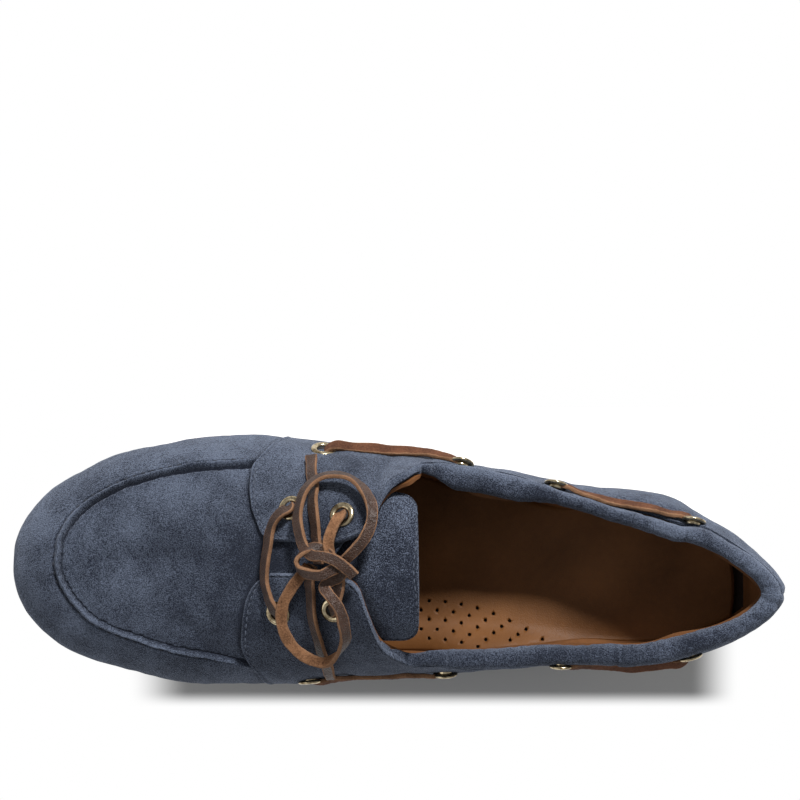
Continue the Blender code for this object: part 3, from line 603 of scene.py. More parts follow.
def mark(mesh, name, values, kind="FLOAT", field="value"):  # one value, or one direction, for each point
    layer = mesh.attributes.new(name, kind, "POINT")
    layer.data.foreach_set(field, np.asarray(values, np.float32).reshape(-1))


def meshFrom(name, points, faces, materials, tone, slots=None, weld=True):
    mesh = bpy.data.meshes.new(name)
    points = toWorld(np.asarray(points, float).reshape(-1, 3))
    mesh.from_pydata(points.tolist(), [], [list(face) for face in faces])
    for one in materials:
        mesh.materials.append(one)
    if slots is not None:
        mesh.polygons.foreach_set("material_index", np.asarray(slots, np.int32))
    mark(mesh, "tone", tone)
    shape = bmesh.new()
    shape.from_mesh(mesh)
    if weld:
        bmesh.ops.remove_doubles(shape, verts=shape.verts, dist=2e-6)
        bmesh.ops.dissolve_degenerate(shape, edges=shape.edges, dist=1e-7)
    if shape.calc_volume(signed=True) < 0:
        bmesh.ops.reverse_faces(shape, faces=shape.faces)
    shape.to_mesh(mesh)
    shape.free()
    mesh.shade_smooth()
    mesh.set_sharp_from_angle(angle=math.radians(60))
    return stand(name, mesh)


def shell(name, outer, inner, material, tone, openTop=None):
    # a solid between two like grids; openTop marks the columns of a closed ring whose tops are free edges
    around = openTop is not None
    columns, rows = outer.shape[:2]
    count = columns * rows
    i = np.arange(columns if around else columns - 1)
    after = (i + 1) % columns
    faces = [gridFaces(columns, rows, 0, around), gridFaces(columns, rows, count, around, True)]
    a, b = i * rows, after * rows
    faces.append(np.stack([b, a, count + a, count + b], -1))
    free = openTop[i] | openTop[after] if around else slice(None)
    a, b = a[free] + rows - 1, b[free] + rows - 1
    faces.append(np.stack([a, b, count + b, count + a], -1))
    if not around:
        j = np.arange(rows - 1)
        faces.append(np.stack([j, j + 1, count + j + 1, count + j], -1))
        far = (columns - 1) * rows + j
        faces.append(np.stack([far + 1, far, count + far, count + far + 1], -1))
    points = np.concatenate([outer.reshape(-1, 3), inner.reshape(-1, 3)])
    return meshFrom(name, points, np.concatenate(faces), [material], np.concatenate([tone, tone]))


def markRakingNap(piece):  # painted light: marks its steep faces, where the nap's speckle is drawn stronger, as raking light shows it
    up = np.empty(len(piece.data.vertices) * 3, np.float32)
    piece.data.vertex_normals.foreach_get("vector", up)
    mark(piece.data, "rakingNap", smooth(0.88, 0.40, np.abs(up[2::3])))


def dress(piece, slot, *nodes):  # rides on the shoe and hides the CAD nodes it stands for; the slot only picks out suede for painted raking light
    if slot == "blue_suede":
        markRakingNap(piece)
    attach(piece, root)
    if nodes:
        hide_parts(*nodes)
    return piece


class Growth(Tree):  # a tree of geometry nodes that repeats a shape on points or along a route
    def __init__(self, name, **sizes):
        self.tree = bpy.data.node_groups.new(name, "GeometryNodeTree")
        self.face, self.keys = self.tree.interface, {}
        self.face.new_socket("Route", in_out="INPUT", socket_type="NodeSocketGeometry")
        self.face.new_socket("Grown", in_out="OUTPUT", socket_type="NodeSocketGeometry")
        self.addInput("Material", "Material")
        for label, value in sizes.items():
            self.addInput(label, "Int" if isinstance(value, int) else "Float").default_value = value
        start = self.tree.nodes.new("NodeGroupInput")
        self.given = {one.name: Socket(self, one) for one in start.outputs if one.name}

    def addInput(self, label, kind):
        made = self.face.new_socket(label, in_out="INPUT", socket_type="NodeSocket" + kind)
        self.keys[label] = made.identifier
        return made

    def moved(self, shape, **places):
        return self.add("GeometryNodeTransform", None, {"Geometry": shape} | places)

    def facing(self, base=None):  # a turn that stands an instance's Z along the facing attribute
        way = self.add("GeometryNodeInputNamedAttribute", {"data_type": "FLOAT_VECTOR"}, {"Name": "facing"})
        settings = {"axis": "Z", "pivot_axis": "X" if base else "AUTO"}
        values = {"Vector": way} | ({"Rotation": base} if base else {})
        return self.add("FunctionNodeAlignRotationToVector", settings, values)

    def onPoints(self, points, shape, **values):
        values |= {"Points": points, "Instance": shape}
        return self.ends(self.add("GeometryNodeInstanceOnPoints", None, values))

    def ends(self, geometry):
        whole = self.add("GeometryNodeRealizeInstances", None, {"Geometry": geometry})
        whole = self.add("GeometryNodeSetShadeSmooth", None, {"Geometry": whole})
        values = {"Geometry": whole, "Material": self.given["Material"]}
        whole = self.add("GeometryNodeSetMaterial", None, values)
        end = self.tree.nodes.new("NodeGroupOutput")
        self.tree.links.new(whole.link, end.inputs["Grown"])
        return self

    def grown(self, name, route, material, **sizes):  # the finished plain mesh; the route is used up
        modifier = route.modifiers.new(name, "NODES")
        modifier.node_group = self.tree
        modifier[self.keys["Material"]] = material
        for label, value in sizes.items():
            modifier[self.keys[label]] = value
        made = stand(name, finished(route))
        bpy.data.objects.remove(route)
        made.data.name = name
        return made


def finished(thing):  # a plain mesh with the modifiers of a piece in it
    bpy.context.view_layer.update()
    return bpy.data.meshes.new_from_object(thing.evaluated_get(bpy.context.evaluated_depsgraph_get()))


def pointCloud(places, facings=None, edges=()):  # loose points, each with the way that it faces
    mesh = bpy.data.meshes.new("route")
    mesh.from_pydata(toWorld(places).tolist(), list(edges), [])
    if facings is not None:
        mark(mesh, "facing", turned(facings), "FLOAT_VECTOR", "vector")
    return stand("route", mesh)


def buildHoleCutter():
    maker = Growth("perforations", Width=0.0015)
    shape = {"Vertices": 14, "Radius": maker.given["Width"] * 0.5, "Depth": 0.003}
    return maker.onPoints(maker.given["Route"], maker.add("GeometryNodeMeshCylinder", None, shape))


def buildStitcher():
    maker = Growth("stitches", Pitch=0.0026, Length=0.0019, Thickness=0.00045, Seed=1)
    line = maker.add("GeometryNodeMeshToCurve", None, {"Mesh": maker.given["Route"]})
    spaced = {"Curve": line, "Length": maker.given["Pitch"]}
    line = maker.add("GeometryNodeResampleCurve", {"mode": "LENGTH"}, spaced)
    bead = maker.add("GeometryNodeMeshUVSphere", None, {"Segments": 8, "Rings": 5, "Radius": 0.5})
    sizes = {"X": maker.given["Length"], "Y": maker.given["Thickness"], "Z": maker.given["Thickness"]}
    bead = maker.moved(bead, Scale=maker.add("ShaderNodeCombineXYZ", None, sizes))
    tangent = maker.add("GeometryNodeInputTangent")
    turn = maker.add("FunctionNodeAlignRotationToVector", {"axis": "X"}, {"Vector": tangent})
    spread = {2: 0.88, 3: 1.12, "Seed": maker.given["Seed"]}
    size = maker.add("FunctionNodeRandomValue", {"data_type": "FLOAT"}, spread, 1)
    return maker.onPoints(line, bead, Rotation=maker.facing(turn), Scale=size)


def buildRinger():  # a rolled brass ring with its barrel
    maker = Growth("eyelet rings", Middle=0.0031, Roll=0.00102, Flatness=0.62)
    middle, thick = maker.given["Middle"], maker.given["Roll"]

    def circle(resolution, radius):
        values = {"Resolution": resolution, "Radius": radius}
        return maker.add("GeometryNodeCurvePrimitiveCircle", None, values)

    def swept(radius, section):
        values = {"Curve": circle(48, radius), "Profile Curve": section}
        return maker.add("GeometryNodeCurveToMesh", None, values)

    squash = maker.add("ShaderNodeCombineXYZ", None, {"X": 1.0, "Y": maker.given["Flatness"], "Z": 1.0})
    brim = swept(middle, maker.moved(circle(14, thick), Scale=squash))
    barrel = swept(middle - thick * 0.80, maker.moved(circle(8, 0.0009), Scale=(0.22, 1.0, 1.0)))
    barrel = maker.moved(barrel, Translation=(0, 0, -0.0008))
    both = maker.add("GeometryNodeJoinGeometry")
    for part in (brim, barrel):
        maker.tree.links.new(part.link, both.link.node.inputs["Geometry"])
    return maker.onPoints(maker.given["Route"], both, Rotation=maker.facing())


def buildHoleShade():  # a near-black disc: painted shade in a hole
    maker = Growth("hole shade discs", Width=0.0043)
    shape = {"Vertices": 24, "Radius": maker.given["Width"] * 0.5, "Depth": 0.0002}
    disc = maker.moved(maker.add("GeometryNodeMeshCylinder", None, shape), Translation=(0, 0, -0.0002))
    return maker.onPoints(maker.given["Route"], disc, Rotation=maker.facing())


def buildRibber():  # bars of one section along routes
    maker = Growth("tread ribs", Width=0.0026, Height=0.0009)
    line = maker.add("GeometryNodeMeshToCurve", None, {"Mesh": maker.given["Route"]})
    line = maker.add("GeometryNodeSetCurveNormal", {"mode": "Z_UP"}, {"Curve": line})
    sizes = {"Width": maker.given["Width"], "Height": maker.given["Height"]}
    section = maker.add("GeometryNodeCurvePrimitiveQuadrilateral", None, sizes)
    section = maker.add("GeometryNodeFilletCurve", {"mode": "POLY"}, {"Curve": section, "Radius": 0.00025})
    bars = {"Curve": line, "Profile Curve": section, "Fill Caps": True}
    return maker.ends(maker.add("GeometryNodeCurveToMesh", None, bars))


holeCutter, stitcher, ringer, holeShadeMaker, ribber = (
    buildHoleCutter(), buildStitcher(), buildRinger(), buildHoleShade(), buildRibber()
)


# camera, lights and floor
studio = {
    "camera": (-53.6, 1.2, 1100.0), "lens": 145.1, "sensor": 36.0,
    "floorReach": 3.0, "floorDown": 0.0002, "floor": 0.90, "floorPaintedShadow": 0.45,
    "sky": 0.37, "skyColour": (0.98, 0.99, 1.0, 1),
    "key": 47.0, "keyFrom": (-1.25, 0.35, 1.20), "keySize": 0.26,
    "fill": 5.5, "fillFrom": (0.3, -1.4, 0.9), "fillSize": 1.4,
    "shadowAcross": (45.5, 51.5), "shadowToe": (-70.0, -92.0), "shadowHeel": (100.0, 117.0),
}


def paperFinish():  # glowing white all round, with the shadow only close by the shoe; the medial half's paper is darker, painted shadow
    ground = Finish("floor paper", Roughness=0.9)
    x = ground.add("ShaderNodeSeparateXYZ", None, {0: ground.place})
    y = Socket(ground, x.link.node.outputs["Y"])
    # painted shadow: the paper is darker on the medial side, where the shadow falls
    plain, dark = ([studio[key]] * 3 for key in ("floor", "floorPaintedShadow"))
    ground.to("Base Color", ground.blend(x.ramp(-0.005, 0.015), plain, dark))

    def past(place, key):
        return place.ramp(*(value / 1000 for value in studio[key]))

    across = past(x.calc("ABSOLUTE", x), "shadowAcross")
    inside = (1 - across) * (1 - past(y, "shadowToe")) * (1 - past(y, "shadowHeel"))
    glow = ground.add("ShaderNodeEmission", None, {"Strength": 1.0})
    shaded = {0: inside, 1: glow, 2: Socket(ground, ground.shader.outputs[0])}
    whole = ground.add("ShaderNodeMixShader", None, shaded)
    ground.tree.links.new(whole.link, ground.tree.nodes["Material Output"].inputs["Surface"])
    return ground.material


def areaLight(name):
    light = bpy.data.lights.new(name, "AREA")
    light.energy, light.size = studio[name], studio[name + "Size"]
    lamp = stand(name, light)
    lamp.location = studio[name + "From"]
    lamp.rotation_euler = (-lamp.location).to_track_quat("-Z", "Y").to_euler()


def makeStudio():
    scene = bpy.context.scene
    lens = bpy.data.cameras.new("camera")
    lens.lens, lens.sensor_width = studio["lens"], studio["sensor"]
    lens.clip_start, lens.clip_end = 0.05, 20.0
    camera = stand("camera", lens)
    camera.location = [value / 1000 for value in studio["camera"]]
    camera.rotation_euler = (0, 0, math.pi / 2)
    scene.camera = camera
    scene.view_settings.view_transform = "Standard"
    world = bpy.data.worlds.new("studio")
    world.use_nodes = True
    sky = world.node_tree.nodes["Background"].inputs
    sky["Color"].default_value, sky["Strength"].default_value = studio["skyColour"], studio["sky"]
    scene.world = world
    for name in ("key", "fill"):
        areaLight(name)
    reach = studio["floorReach"]
    corners = [(-reach, -reach, 0), (reach, -reach, 0), (reach, reach, 0), (-reach, reach, 0)]
    mesh = bpy.data.meshes.new("floor")
    mesh.from_pydata(corners, [], [(0, 1, 2, 3)])
    mesh.materials.append(paperFinish())
    floor = stand("floor", mesh)
    floor.location.z = -studio["floorDown"]


makeStudio()
print("studio ready")


# the lace: one flat strip, grain on one side, rough flesh side on the other, pale cut edges
lace = {
    "wide": 3.7, "thick": 1.4, "corner": 0.34, "crowned": 1.03, "step": 0.55, "endHigh": 3.5, "loopHigh": 6.6,
    "wander": 0.10, "twist": 3.0, "swell": 0.035, "fleshRough": 0.05, "grainRough": 0.012, "edgeRough": 0.03,
    "stiffness": "limp",
}
low, high = lace["endHigh"], lace["loopHigh"]
# rows: place across, from the heel, clearance of its middle from the last, turn of its grain side in degrees
barRoute = [
    (-19.5, 162.4, 0.6, 10), (-19.5, 162.5, 2.6, 12), (-19.1, 163.0, 4.3, 15), (-17.7, 165.2, 5.0, 20),
    (-15.4, 167.3, 4.6, 24), (-12.1, 168.7, 3.9, 28), (-4.0, 170.0, 3.5, 30), (4.1, 170.3, 3.6, 28),
    (9.6, 169.4, 4.5, 22), (12.5, 168.0, 5.0, 18), (14.6, 167.0, 4.3, 12), (15.3, 166.7, 2.6, 10),
    (15.4, 166.6, 0.6, 10),
]
bowRoutes = {
    "lace_bow_lateral": [
        (-17.7, 145.7, 0.6, 180), (-17.7, 145.8, 2.6, 180), (-17.0, 146.1, 4.4, 178),
        (-15.0, 147.3, 5.2, 172), (-11.8, 148.9, 5.4, 165), (-8.5, 149.7, 5.4, 160),
        (-5.4, 149.2, 5.0, 120), (-2.6, 147.6, 4.8, 60),
        (-2.6, 145.2, 5.4, 20), (-4.6, 143.0, 6.4, 25), (-6.6, 140.9, high, 30), (-10.1, 138.0, high, 34),
        (-15.5, 135.8, high, 36), (-21.0, 136.1, high, 38), (-26.1, 139.0, high, 38),
        (-29.3, 143.8, high, 36), (-30.0, 149.2, high, 34), (-28.0, 154.7, high, 32),
        (-23.6, 158.3, 7.0, 30), (-17.1, 159.7, 7.0, 26), (-10.7, 158.9, high, 20), (-6.9, 157.6, 6.8, 5),
        (-4.6, 155.0, 8.2, -10), (-4.3, 151.2, 9.2, -14), (-2.8, 147.0, 8.9, -12), (-0.2, 143.4, 7.6, -6),
        (2.0, 141.2, 6.2, 0),
    ],
    "lace_bow_medial": [
        (13.8, 148.7, 0.6, -20), (13.8, 148.6, 2.6, -22), (13.1, 148.3, 4.3, -24), (11.0, 147.5, 4.9, -26),
        (8.0, 146.6, 4.6, -24), (4.2, 146.2, 4.4, -10), (-0.8, 147.0, 4.4, 0), (-5.2, 149.8, 5.2, 0),
        (-7.0, 153.2, 6.4, 20), (-6.2, 156.8, 7.6, 50), (-3.0, 159.6, 8.0, 75), (0.0, 159.0, 8.2, 50),
        (1.5, 155.8, 8.6, 22), (1.6, 151.8, 8.9, 12), (0.2, 148.6, 8.3, 6), (-0.6, 146.2, 6.9, 0),
        (0.8, 145.0, 5.6, -4), (2.8, 146.6, 5.1, -8), (4.0, 149.4, 5.6, -12), (5.7, 150.8, 6.8, -18),
        (7.8, 149.4, 7.8, -28), (11.7, 146.7, 8.2, -36), (17.2, 144.8, 7.8, -42), (22.9, 144.5, 7.2, -52),
        (27.7, 146.7, high, -75),
        (30.6, 150.5, high, -105), (30.3, 154.7, high, -132), (27.7, 159.5, high, -146),
        (22.9, 163.0, 6.8, -152), (17.2, 165.0, 7.0, -154), (11.4, 164.3, 6.8, -156),
        (6.9, 161.8, high, -158), (2.7, 158.9, 6.2, -164), (-1.0, 156.2, 5.4, -170),
    ],
    "lace_end_lateral": [
        (-1.5, 152.8, 4.6, -10), (-5.0, 153.1, 4.6, -16), (-8.4, 153.4, 4.2, -22), (-12.5, 153.8, low, -26),
        (-16.8, 154.4, low, -28), (-21.0, 154.6, low, -28), (-25.2, 154.7, low, -24),
        (-30.6, 155.4, low, -14), (-35.8, 155.8, low, 0),
    ],
    "lace_end_medial": [
        (-1.0, 154.6, 4.6, 10), (4.4, 155.8, 4.2, 20), (7.5, 155.7, low, 26), (10.7, 155.4, low, 28),
        (15.0, 155.0, low, 30), (19.1, 154.3, low, 30), (23.4, 153.2, low, 28), (27.4, 152.2, low, 24),
        (32.2, 150.6, low, 16), (36.8, 149.2, low, 4),
    ],
}
bowEnds = {  # how each stretch ends, and the nodes that it stands for
    "lace_bow_lateral": ("bare", "lace_rise_lateral", "lace_loop_lateral"),
    "lace_bow_medial": ("knot", "lace_rise_medial", "lace_loop_medial", "lace_knot"),
    "lace_end_lateral": ("bare", "lace_end_lateral"),
    "lace_end_medial": ("bare", "lace_end_medial"),
}


def stripSection():
    wide, thick, corner = lace["wide"] / 2, lace["thick"] / 2, lace["corner"]
    points = []
    for across, up, start in ((1, 1, 0), (-1, 1, 90), (-1, -1, 180), (1, -1, 270)):
        for step in (0, 45, 90):
            turn = math.radians(start + step)
            centre = across * (wide - corner), up * (thick - corner)
            points.append((centre[0] + corner * math.cos(turn), centre[1] + corner * math.sin(turn)))
        if across == up:
            points += [(-across * wide * share, up * thick * lace["crowned"]) for share in (-0.4, 0.0, 0.4)]
    return np.array(points)


def strip(name, rows, seed, flip=False, back="flesh"):
    # rows: world place and surface direction in millimetres, then the turn
    path = throughRows(rows, lace["step"])
    middle = path[:, :3] + lace["wander"] * np.stack([waves(path[:, :3], 9, seed + k) for k in range(3)], -1)
    tangent = unit(np.gradient(middle, axis=0))
    up = unit(path[:, 3:6])
    up = unit(up - (up * tangent).sum(-1, keepdims=True) * tangent)
    right = np.cross(tangent, up)
    turn = path[:, 6] + lace["twist"] * waves(path[:, :3], 12, seed + 5) + (180 if flip else 0)
    turn = np.radians(turn)[:, None]
    face = up * np.cos(turn) + right * np.sin(turn)
    across = right * np.cos(turn) - up * np.sin(turn)
    section = stripSection()
    swell = 1 + lace["swell"] * waves(middle, 7, seed + 9)[:, None]
    points = middle[:, None] + across[:, None] * (section[None, :, :1] * swell[:, :, None])
    points = points + face[:, None] * section[None, :, 1:]
    rough = waves(points, 1.3, seed + 11, 24)
    deep = np.where(section[None, :, 1] < 0, lace["fleshRough"], lace["grainRough"])
    points = points + face[:, None] * (deep * rough)[..., None]
    points = points + across[:, None] * (lace["edgeRough"] * rough * np.sign(section[None, :, 0]))[..., None]
    between = (section + np.roll(section, -1, axis=0)) / 2
    grainSide, fleshSide, cutEdge = range(3)
    onEdge = np.abs(between[:, 1]) < lace["thick"] / 2 - 0.04
    slot = np.where(onEdge, cutEdge, np.where(between[:, 1] > 0, grainSide, fleshSide))
    slots = np.concatenate([np.tile(slot, len(middle) - 1), [cutEdge, cutEdge]])
    atEdges = bell(np.abs(section[None, :, 0]), lace["wide"] / 2, 0.5)
    worn = 0.10 * waves(points, 6, seed + 21) + 0.16 * atEdges
    materials = [finish["grain"], finish[back], finish["cut"]]
    faces = tubeFaces(len(middle), len(section), wallsTurned=True)
    made = meshFrom(name, toLast(points), faces, materials, worn, slots, weld=False)
    return made, middle / 1000


def overVamp(route):
    rows = []
    for x, fromHeel, clearance, turn in route:
        side, ray, angle = under(x, fromHeel, clearance)
        place = toWorld(skin(side, ray, angle, clearance)) * 1000
        rows.append((*place, *turned(lastNormal(side, ray, angle)), turn))
    return rows


def makeLaces():
    seed = 3
    bar, _ = strip("lace_bar_strip", overVamp(barRoute), seed)
    dress(bar, "lace_leather", "lace_bar")
    for name, route in bowRoutes.items():
        seed += 40
        piece, path = strip(name + "_strip", overVamp(route), seed)
        farEnd, *nodes = bowEnds[name]
        dress(piece, "lace_leather", *nodes)


makeLaces()
print("laces made")


stitchRoutes = {}  # for each seam, its points and the ways that they face


# vamp and wall, one skin: a raised hand-sewn seam rings the sunk plug
upper = {
    "thick": 1.2, "recess": 1.2, "ridge": 1.30, "ridgeWide": 0.74, "ridgeWobble": 0.10,
    "creaseDeep": 1.0, "creaseLateral": 0.68, "creaseMedial": 0.36,
    "outerGroove": 0.42, "grooveAt": -1.45, "grooveWide": 0.36, "plugSunk": 0.55, "seamBegins": 173.0,
    "stitchDeep": 0.12, "swell": 0.20, "ripple": 0.05, "denseBelow": 4.4, "denseAbove": 5.2,
    "facingMiddle": -3.1, "facingHalf": (6.2, 4.6), "facingFront": (175.0, 169.0), "underLace": 0.6,
}
vampCreases = [  # ax, ay, bx, by, width, depth on the plan of the last
    (-22, 186, -30, 178, 2.2, 0.22), (-14, 181, -4, 179, 2.6, 0.20), (8, 182, 20, 185, 2.8, 0.20),
    (20, 196, 28, 188, 2.4, 0.18), (-18, 200, -26, 192, 2.6, 0.16), (2, 190, 10, 194, 3.0, 0.14),
]
# lighter and darker patches of the vamp; the small dark spot at (-3, 172), where the gap between the facings
# opens, is painted shade
vampShades = [
    (0, 184, 16, -0.44), (14, 190, 12, -0.12), (-18, 206, 16, 0.06), (6, 218, 12, -0.04), (-30, 190, 9, 0.08),
    (30, 196, 14, -0.12), (0, 254, 16, 0.13), (-24, 236, 10, -0.03), (20, 210, 12, 0.08), (-3, 172, 7, -0.30),
]


def seamAngle(side, ray):
    out = follow(apron, sideName[side], toeShare(ray), key="ahead")
    return np.degrees(np.arccos(power(out, shoe["crownSquareness"] / 2)))


def upperGrid(side, rays):  # angles, and how far each place lies on the plug side of the seam
    end = freeEdge(side, rays, recess=upper["recess"])
    fine = np.linspace(-90, 90, 361)
    length = bentLength(lastPoint(side, rays[:, None], fine), 1)
    seamAt, endAt = (
        np.array([np.interp(a, fine, run) for a, run in zip(line, length)])[:, None]
        for line in (seamAngle(side, rays), end)
    )
    low, high = upper["denseBelow"], upper["denseAbove"]
    below, above = np.linspace(0, 1, 27)[:-1], np.linspace(0, 1, 32)[1:]
    dense = [(seamAt - low) * below, seamAt + np.linspace(-low, high, 50)]
    dense = np.concatenate([*dense, seamAt + high + (endAt - seamAt - high) * above], 1)
    plain = endAt * np.linspace(0, 1, dense.shape[1])
    at = mix(plain, dense, smooth(150, 164, plan(side, rays)[0][:, 1])[:, None])
    angle = np.array([np.interp(row, run, fine) for row, run in zip(at, length)])
    angle[:, -1] = end
    return angle, at - seamAt


def seamRelief(side, rays, offset, points):
    ahead = toeShare(rays)[:, None]
    isLateral = (1 - smooth(0.80, 1.0, ahead)) if side == lateral else np.zeros_like(ahead)
    wide = upper["creaseLateral"] * mix(1, 0.72, smooth(0.1, 0.6, ahead))
    wide = mix(upper["creaseMedial"], wide, isLateral)
    begins = smooth(upper["seamBegins"] - 1, upper["seamBegins"] + 1, points[..., 1])
    crease = bell(offset + 0.12 * waves(points, 2.2, 66), 0.80 + wide, wide)
    groove = bell(offset, upper["grooveAt"], upper["grooveWide"])
    atToe = smooth(0.80, 0.97, ahead)
    wobble = 1 + upper["ridgeWobble"] * waves(points, 6, 61)
    out = upper["ridge"] * bell(offset, 0, upper["ridgeWide"]) * wobble
    out = out - upper["creaseDeep"] * mix(0.75, 1.2, isLateral) * crease - upper["outerGroove"] * groove
    out = out - upper["plugSunk"] * smooth(0.5, 2.0, offset) * (1 - smooth(5, 20, offset))
    # painted shade in the crease, deeper on the lateral side, and in the outer groove, deeper near the toe;
    # painted highlight on the ridge's top and just outside the groove
    tone = -mix(0.62, 0.85, isLateral) * crease - mix(0.10, 0.42, atToe) * groove
    tone = tone + 0.22 * bell(offset, 0.05, 0.55) + 0.10 * bell(offset, -2.3, 0.5)
    return out * begins, tone * begins


def betweenFacings(points):  # 1 where the crown of the vamp shows between the facings
    across = smooth(*upper["facingHalf"], np.abs(points[..., 0] - upper["facingMiddle"]))
    return across * smooth(*upper["facingFront"], points[..., 1])


def quarterEdgeShadow(side, points, angle):  # 1 along the front edge of the quarter, where the vamp gets a painted shadow
    return bell(points[..., 1] - follow(quarterFront[side], "fromHeel", angle, key="angle"), 0.4, 1.0)


def makeUpper():
    rays = halfRays(30, 30, 150)
    opened = isOpen(plan(lateral, rays)[0][:, 1])

    def upperHalf(side):
        angle, offset = upperGrid(side, rays)
        flat = lastPoint(side, rays[:, None], angle)
        line = np.array([np.interp(upper["grooveAt"], row, turn) for row, turn in zip(offset, angle)])
        sewn = skin(side, rays, line, -upper["stitchDeep"]), lastNormal(side, rays, line)
        out, tone = seamRelief(side, rays, offset, flat)
        out = out + upper["swell"] * waves(flat, 26, 5) * smooth(-60, -20, angle)
        out = out + creases(flat[..., :2], vampCreases)
        out = out + upper["ripple"] * waves(flat, 5, 9) - upper["underLace"] * betweenFacings(flat)
        tone = tone + shades(flat, vampShades) + 0.05 * waves(flat, 17, 31)
        # painted shade on the crown between the facings, and painted shadow along the quarters' front edges
        tone = tone - 0.45 * betweenFacings(flat) - 0.62 * quarterEdgeShadow(side, flat, angle)
        outer = skin(side, rays[:, None], angle, out)
        inner = skin(side, rays[:, None], angle, np.minimum(out, 0) - upper["thick"])
        return outer, inner, tone, opened, *sewn

    outer, inner, tone, openTop, *sewn = roundTheShoe(upperHalf)
    ahead = sewn[0][:, 1] > upper["seamBegins"] + 2
    stitchRoutes["apron"] = [part[ahead] for part in sewn]
    made = shell("vamp_and_wall", outer, inner, finish["suede"], tone, openTop)
    dress(made, "blue_suede", "upper", "apron_seam")


makeUpper()
print("vamp and wall made")


# lining: tan leather, padded where it meets the collar, its cut edge standing past the suede
lining = {
    "outside": 1.25, "inside": 2.4, "past": 0.35, "short": 1.1, "vampDown": 1.8,
    "padReach": 17.0, "padSpare": 1.1, "padEnds": 119.0, "heelFace": 10.3, "heelSlope": 0.045,
    "clear": 0.3, "ripple": 0.10,
}


def liningInside(side, rays, z):  # its inner face at a height under the bulge
    edge = plan(side, rays)[0]
    bulge, foot = follow(last, "bulge", edge[:, 1]), follow(sole, "top", edge[:, 1]) + shoe["gap"]
    down = np.clip((bulge - z) / (bulge - foot), 0, 1)
    return skin(side, rays, -90 * down, -lining["inside"] - lining["clear"])


def makeLining():
    rays = halfRays(34, 90, 50)
    share = np.concatenate([np.linspace(0, 0.8, 26)[:-1], np.linspace(0.8, 1, 22)])
    edgeAt = plan(lateral, rays)[0][:, 1]

    def half(side):
        shows = bell(edgeAt, 123, 4.5) if side == lateral else 0
        end = freeEdge(side, rays, recess=mix(lining["short"], -lining["past"], shows))
        angle = -90 + (end[:, None] + 90) * share
        down = lining["vampDown"] * smooth(148, 164, edgeAt)[:, None]
        outer = skin(side, rays[:, None], angle, -lining["outside"] - down)
        ripple = lining["ripple"] * waves(lastPoint(side, rays[:, None], angle), 16, 71)
        flat = skin(side, rays[:, None], angle, -lining["inside"] + ripple - down)
        spare = mix(lining["padSpare"], -0.3, bell(edgeAt, 34, 8))
        wide = follow(collar, sided("width", side), edgeAt) - lining["inside"] - spare
        wide = np.clip(wide, 0, None) * (1 - smooth(100, lining["padEnds"], edgeAt))
        depth = flat[:, -1:, 2] - flat[..., 2]
        pad = wide[:, None] * (1 - smooth(0, lining["padReach"], depth))
        upright = np.clip(lining["heelFace"] + lining["heelSlope"] * depth - flat[..., 1], 0, None)
        pad = np.maximum(pad, upright * smooth(0.75, 0.25, rays)[:, None] * smooth(0, 3, depth + 2.5))
        flat[..., :2] += inwardWay(side, rays)[:, None] * pad[..., None]
        return outer, flat, isOpen(edgeAt)

    outer, inner, openTop = roundTheShoe(half)
    made = shell("lining", outer, inner, finish["lining"], 0.08 * waves(outer, 20, 72), openTop)
    dress(made, "tan_leather")


makeLining()
print("lining made")


# quarters: suede laid over the wall, with a folded edge and one row of stitches inside it
quarter = {
    "low": 0.05, "high": 1.75, "edge": -76.0, "upright": 110.0, "swellFrom": 138.0, "raised": 1.6,
    "roundEdge": 0.85, "stitchIn": 1.75, "grooveDeep": 0.28, "foldPuff": 0.16, "swell": 0.22, "ripple": 0.04,
    "lacePull": {"front": 0.35, "rear": 1.1}, "pullWide": 4.0, "heelSeam": 0.42, "thinToe": 0.62,
    "settle": 8.0, "slope": 1.2,
}
nearEdge = np.array([  # distances from an edge at which a grid has its lines
    0, 0.07, 0.16, 0.28, 0.42, 0.6, 0.85, 1.1, 1.35, 1.6, 1.85, 2.1, 2.4, 2.9, 3.6, 4.6, 6.0,
])
quarterCreases = {
    lateral: [
        (-36, 128, -30, 132, 1.6, 0.35), (-34, 118, -40, 122, 2.0, 0.30), (-26, 150, -34, 148, 2.6, 0.22),
        (-24, 70, -28, 64, 1.8, 0.25), (-31, 96, -33, 88, 2.0, 0.25),
    ],
    medial: [
        (28, 142, 36, 146, 2.4, 0.30), (30, 128, 35, 124, 2.0, 0.32), (24, 160, 33, 164, 2.6, 0.22),
        (33, 100, 35, 92, 2.2, 0.25), (32, 60, 33, 52, 2.0, 0.22),
    ],
}
quarterShades = {
    lateral: [
        (-30, 118, 22, 0.02), (-14, 150, 15, -0.21), (-31, 139, 9, -0.13), (-34, 125, 9, -0.06),
        (-34, 78, 30, -0.10), (-28, 40, 22, -0.06),
    ],
    medial: [(24, 160, 20, -0.25), (30, 130, 24, -0.18)],
}


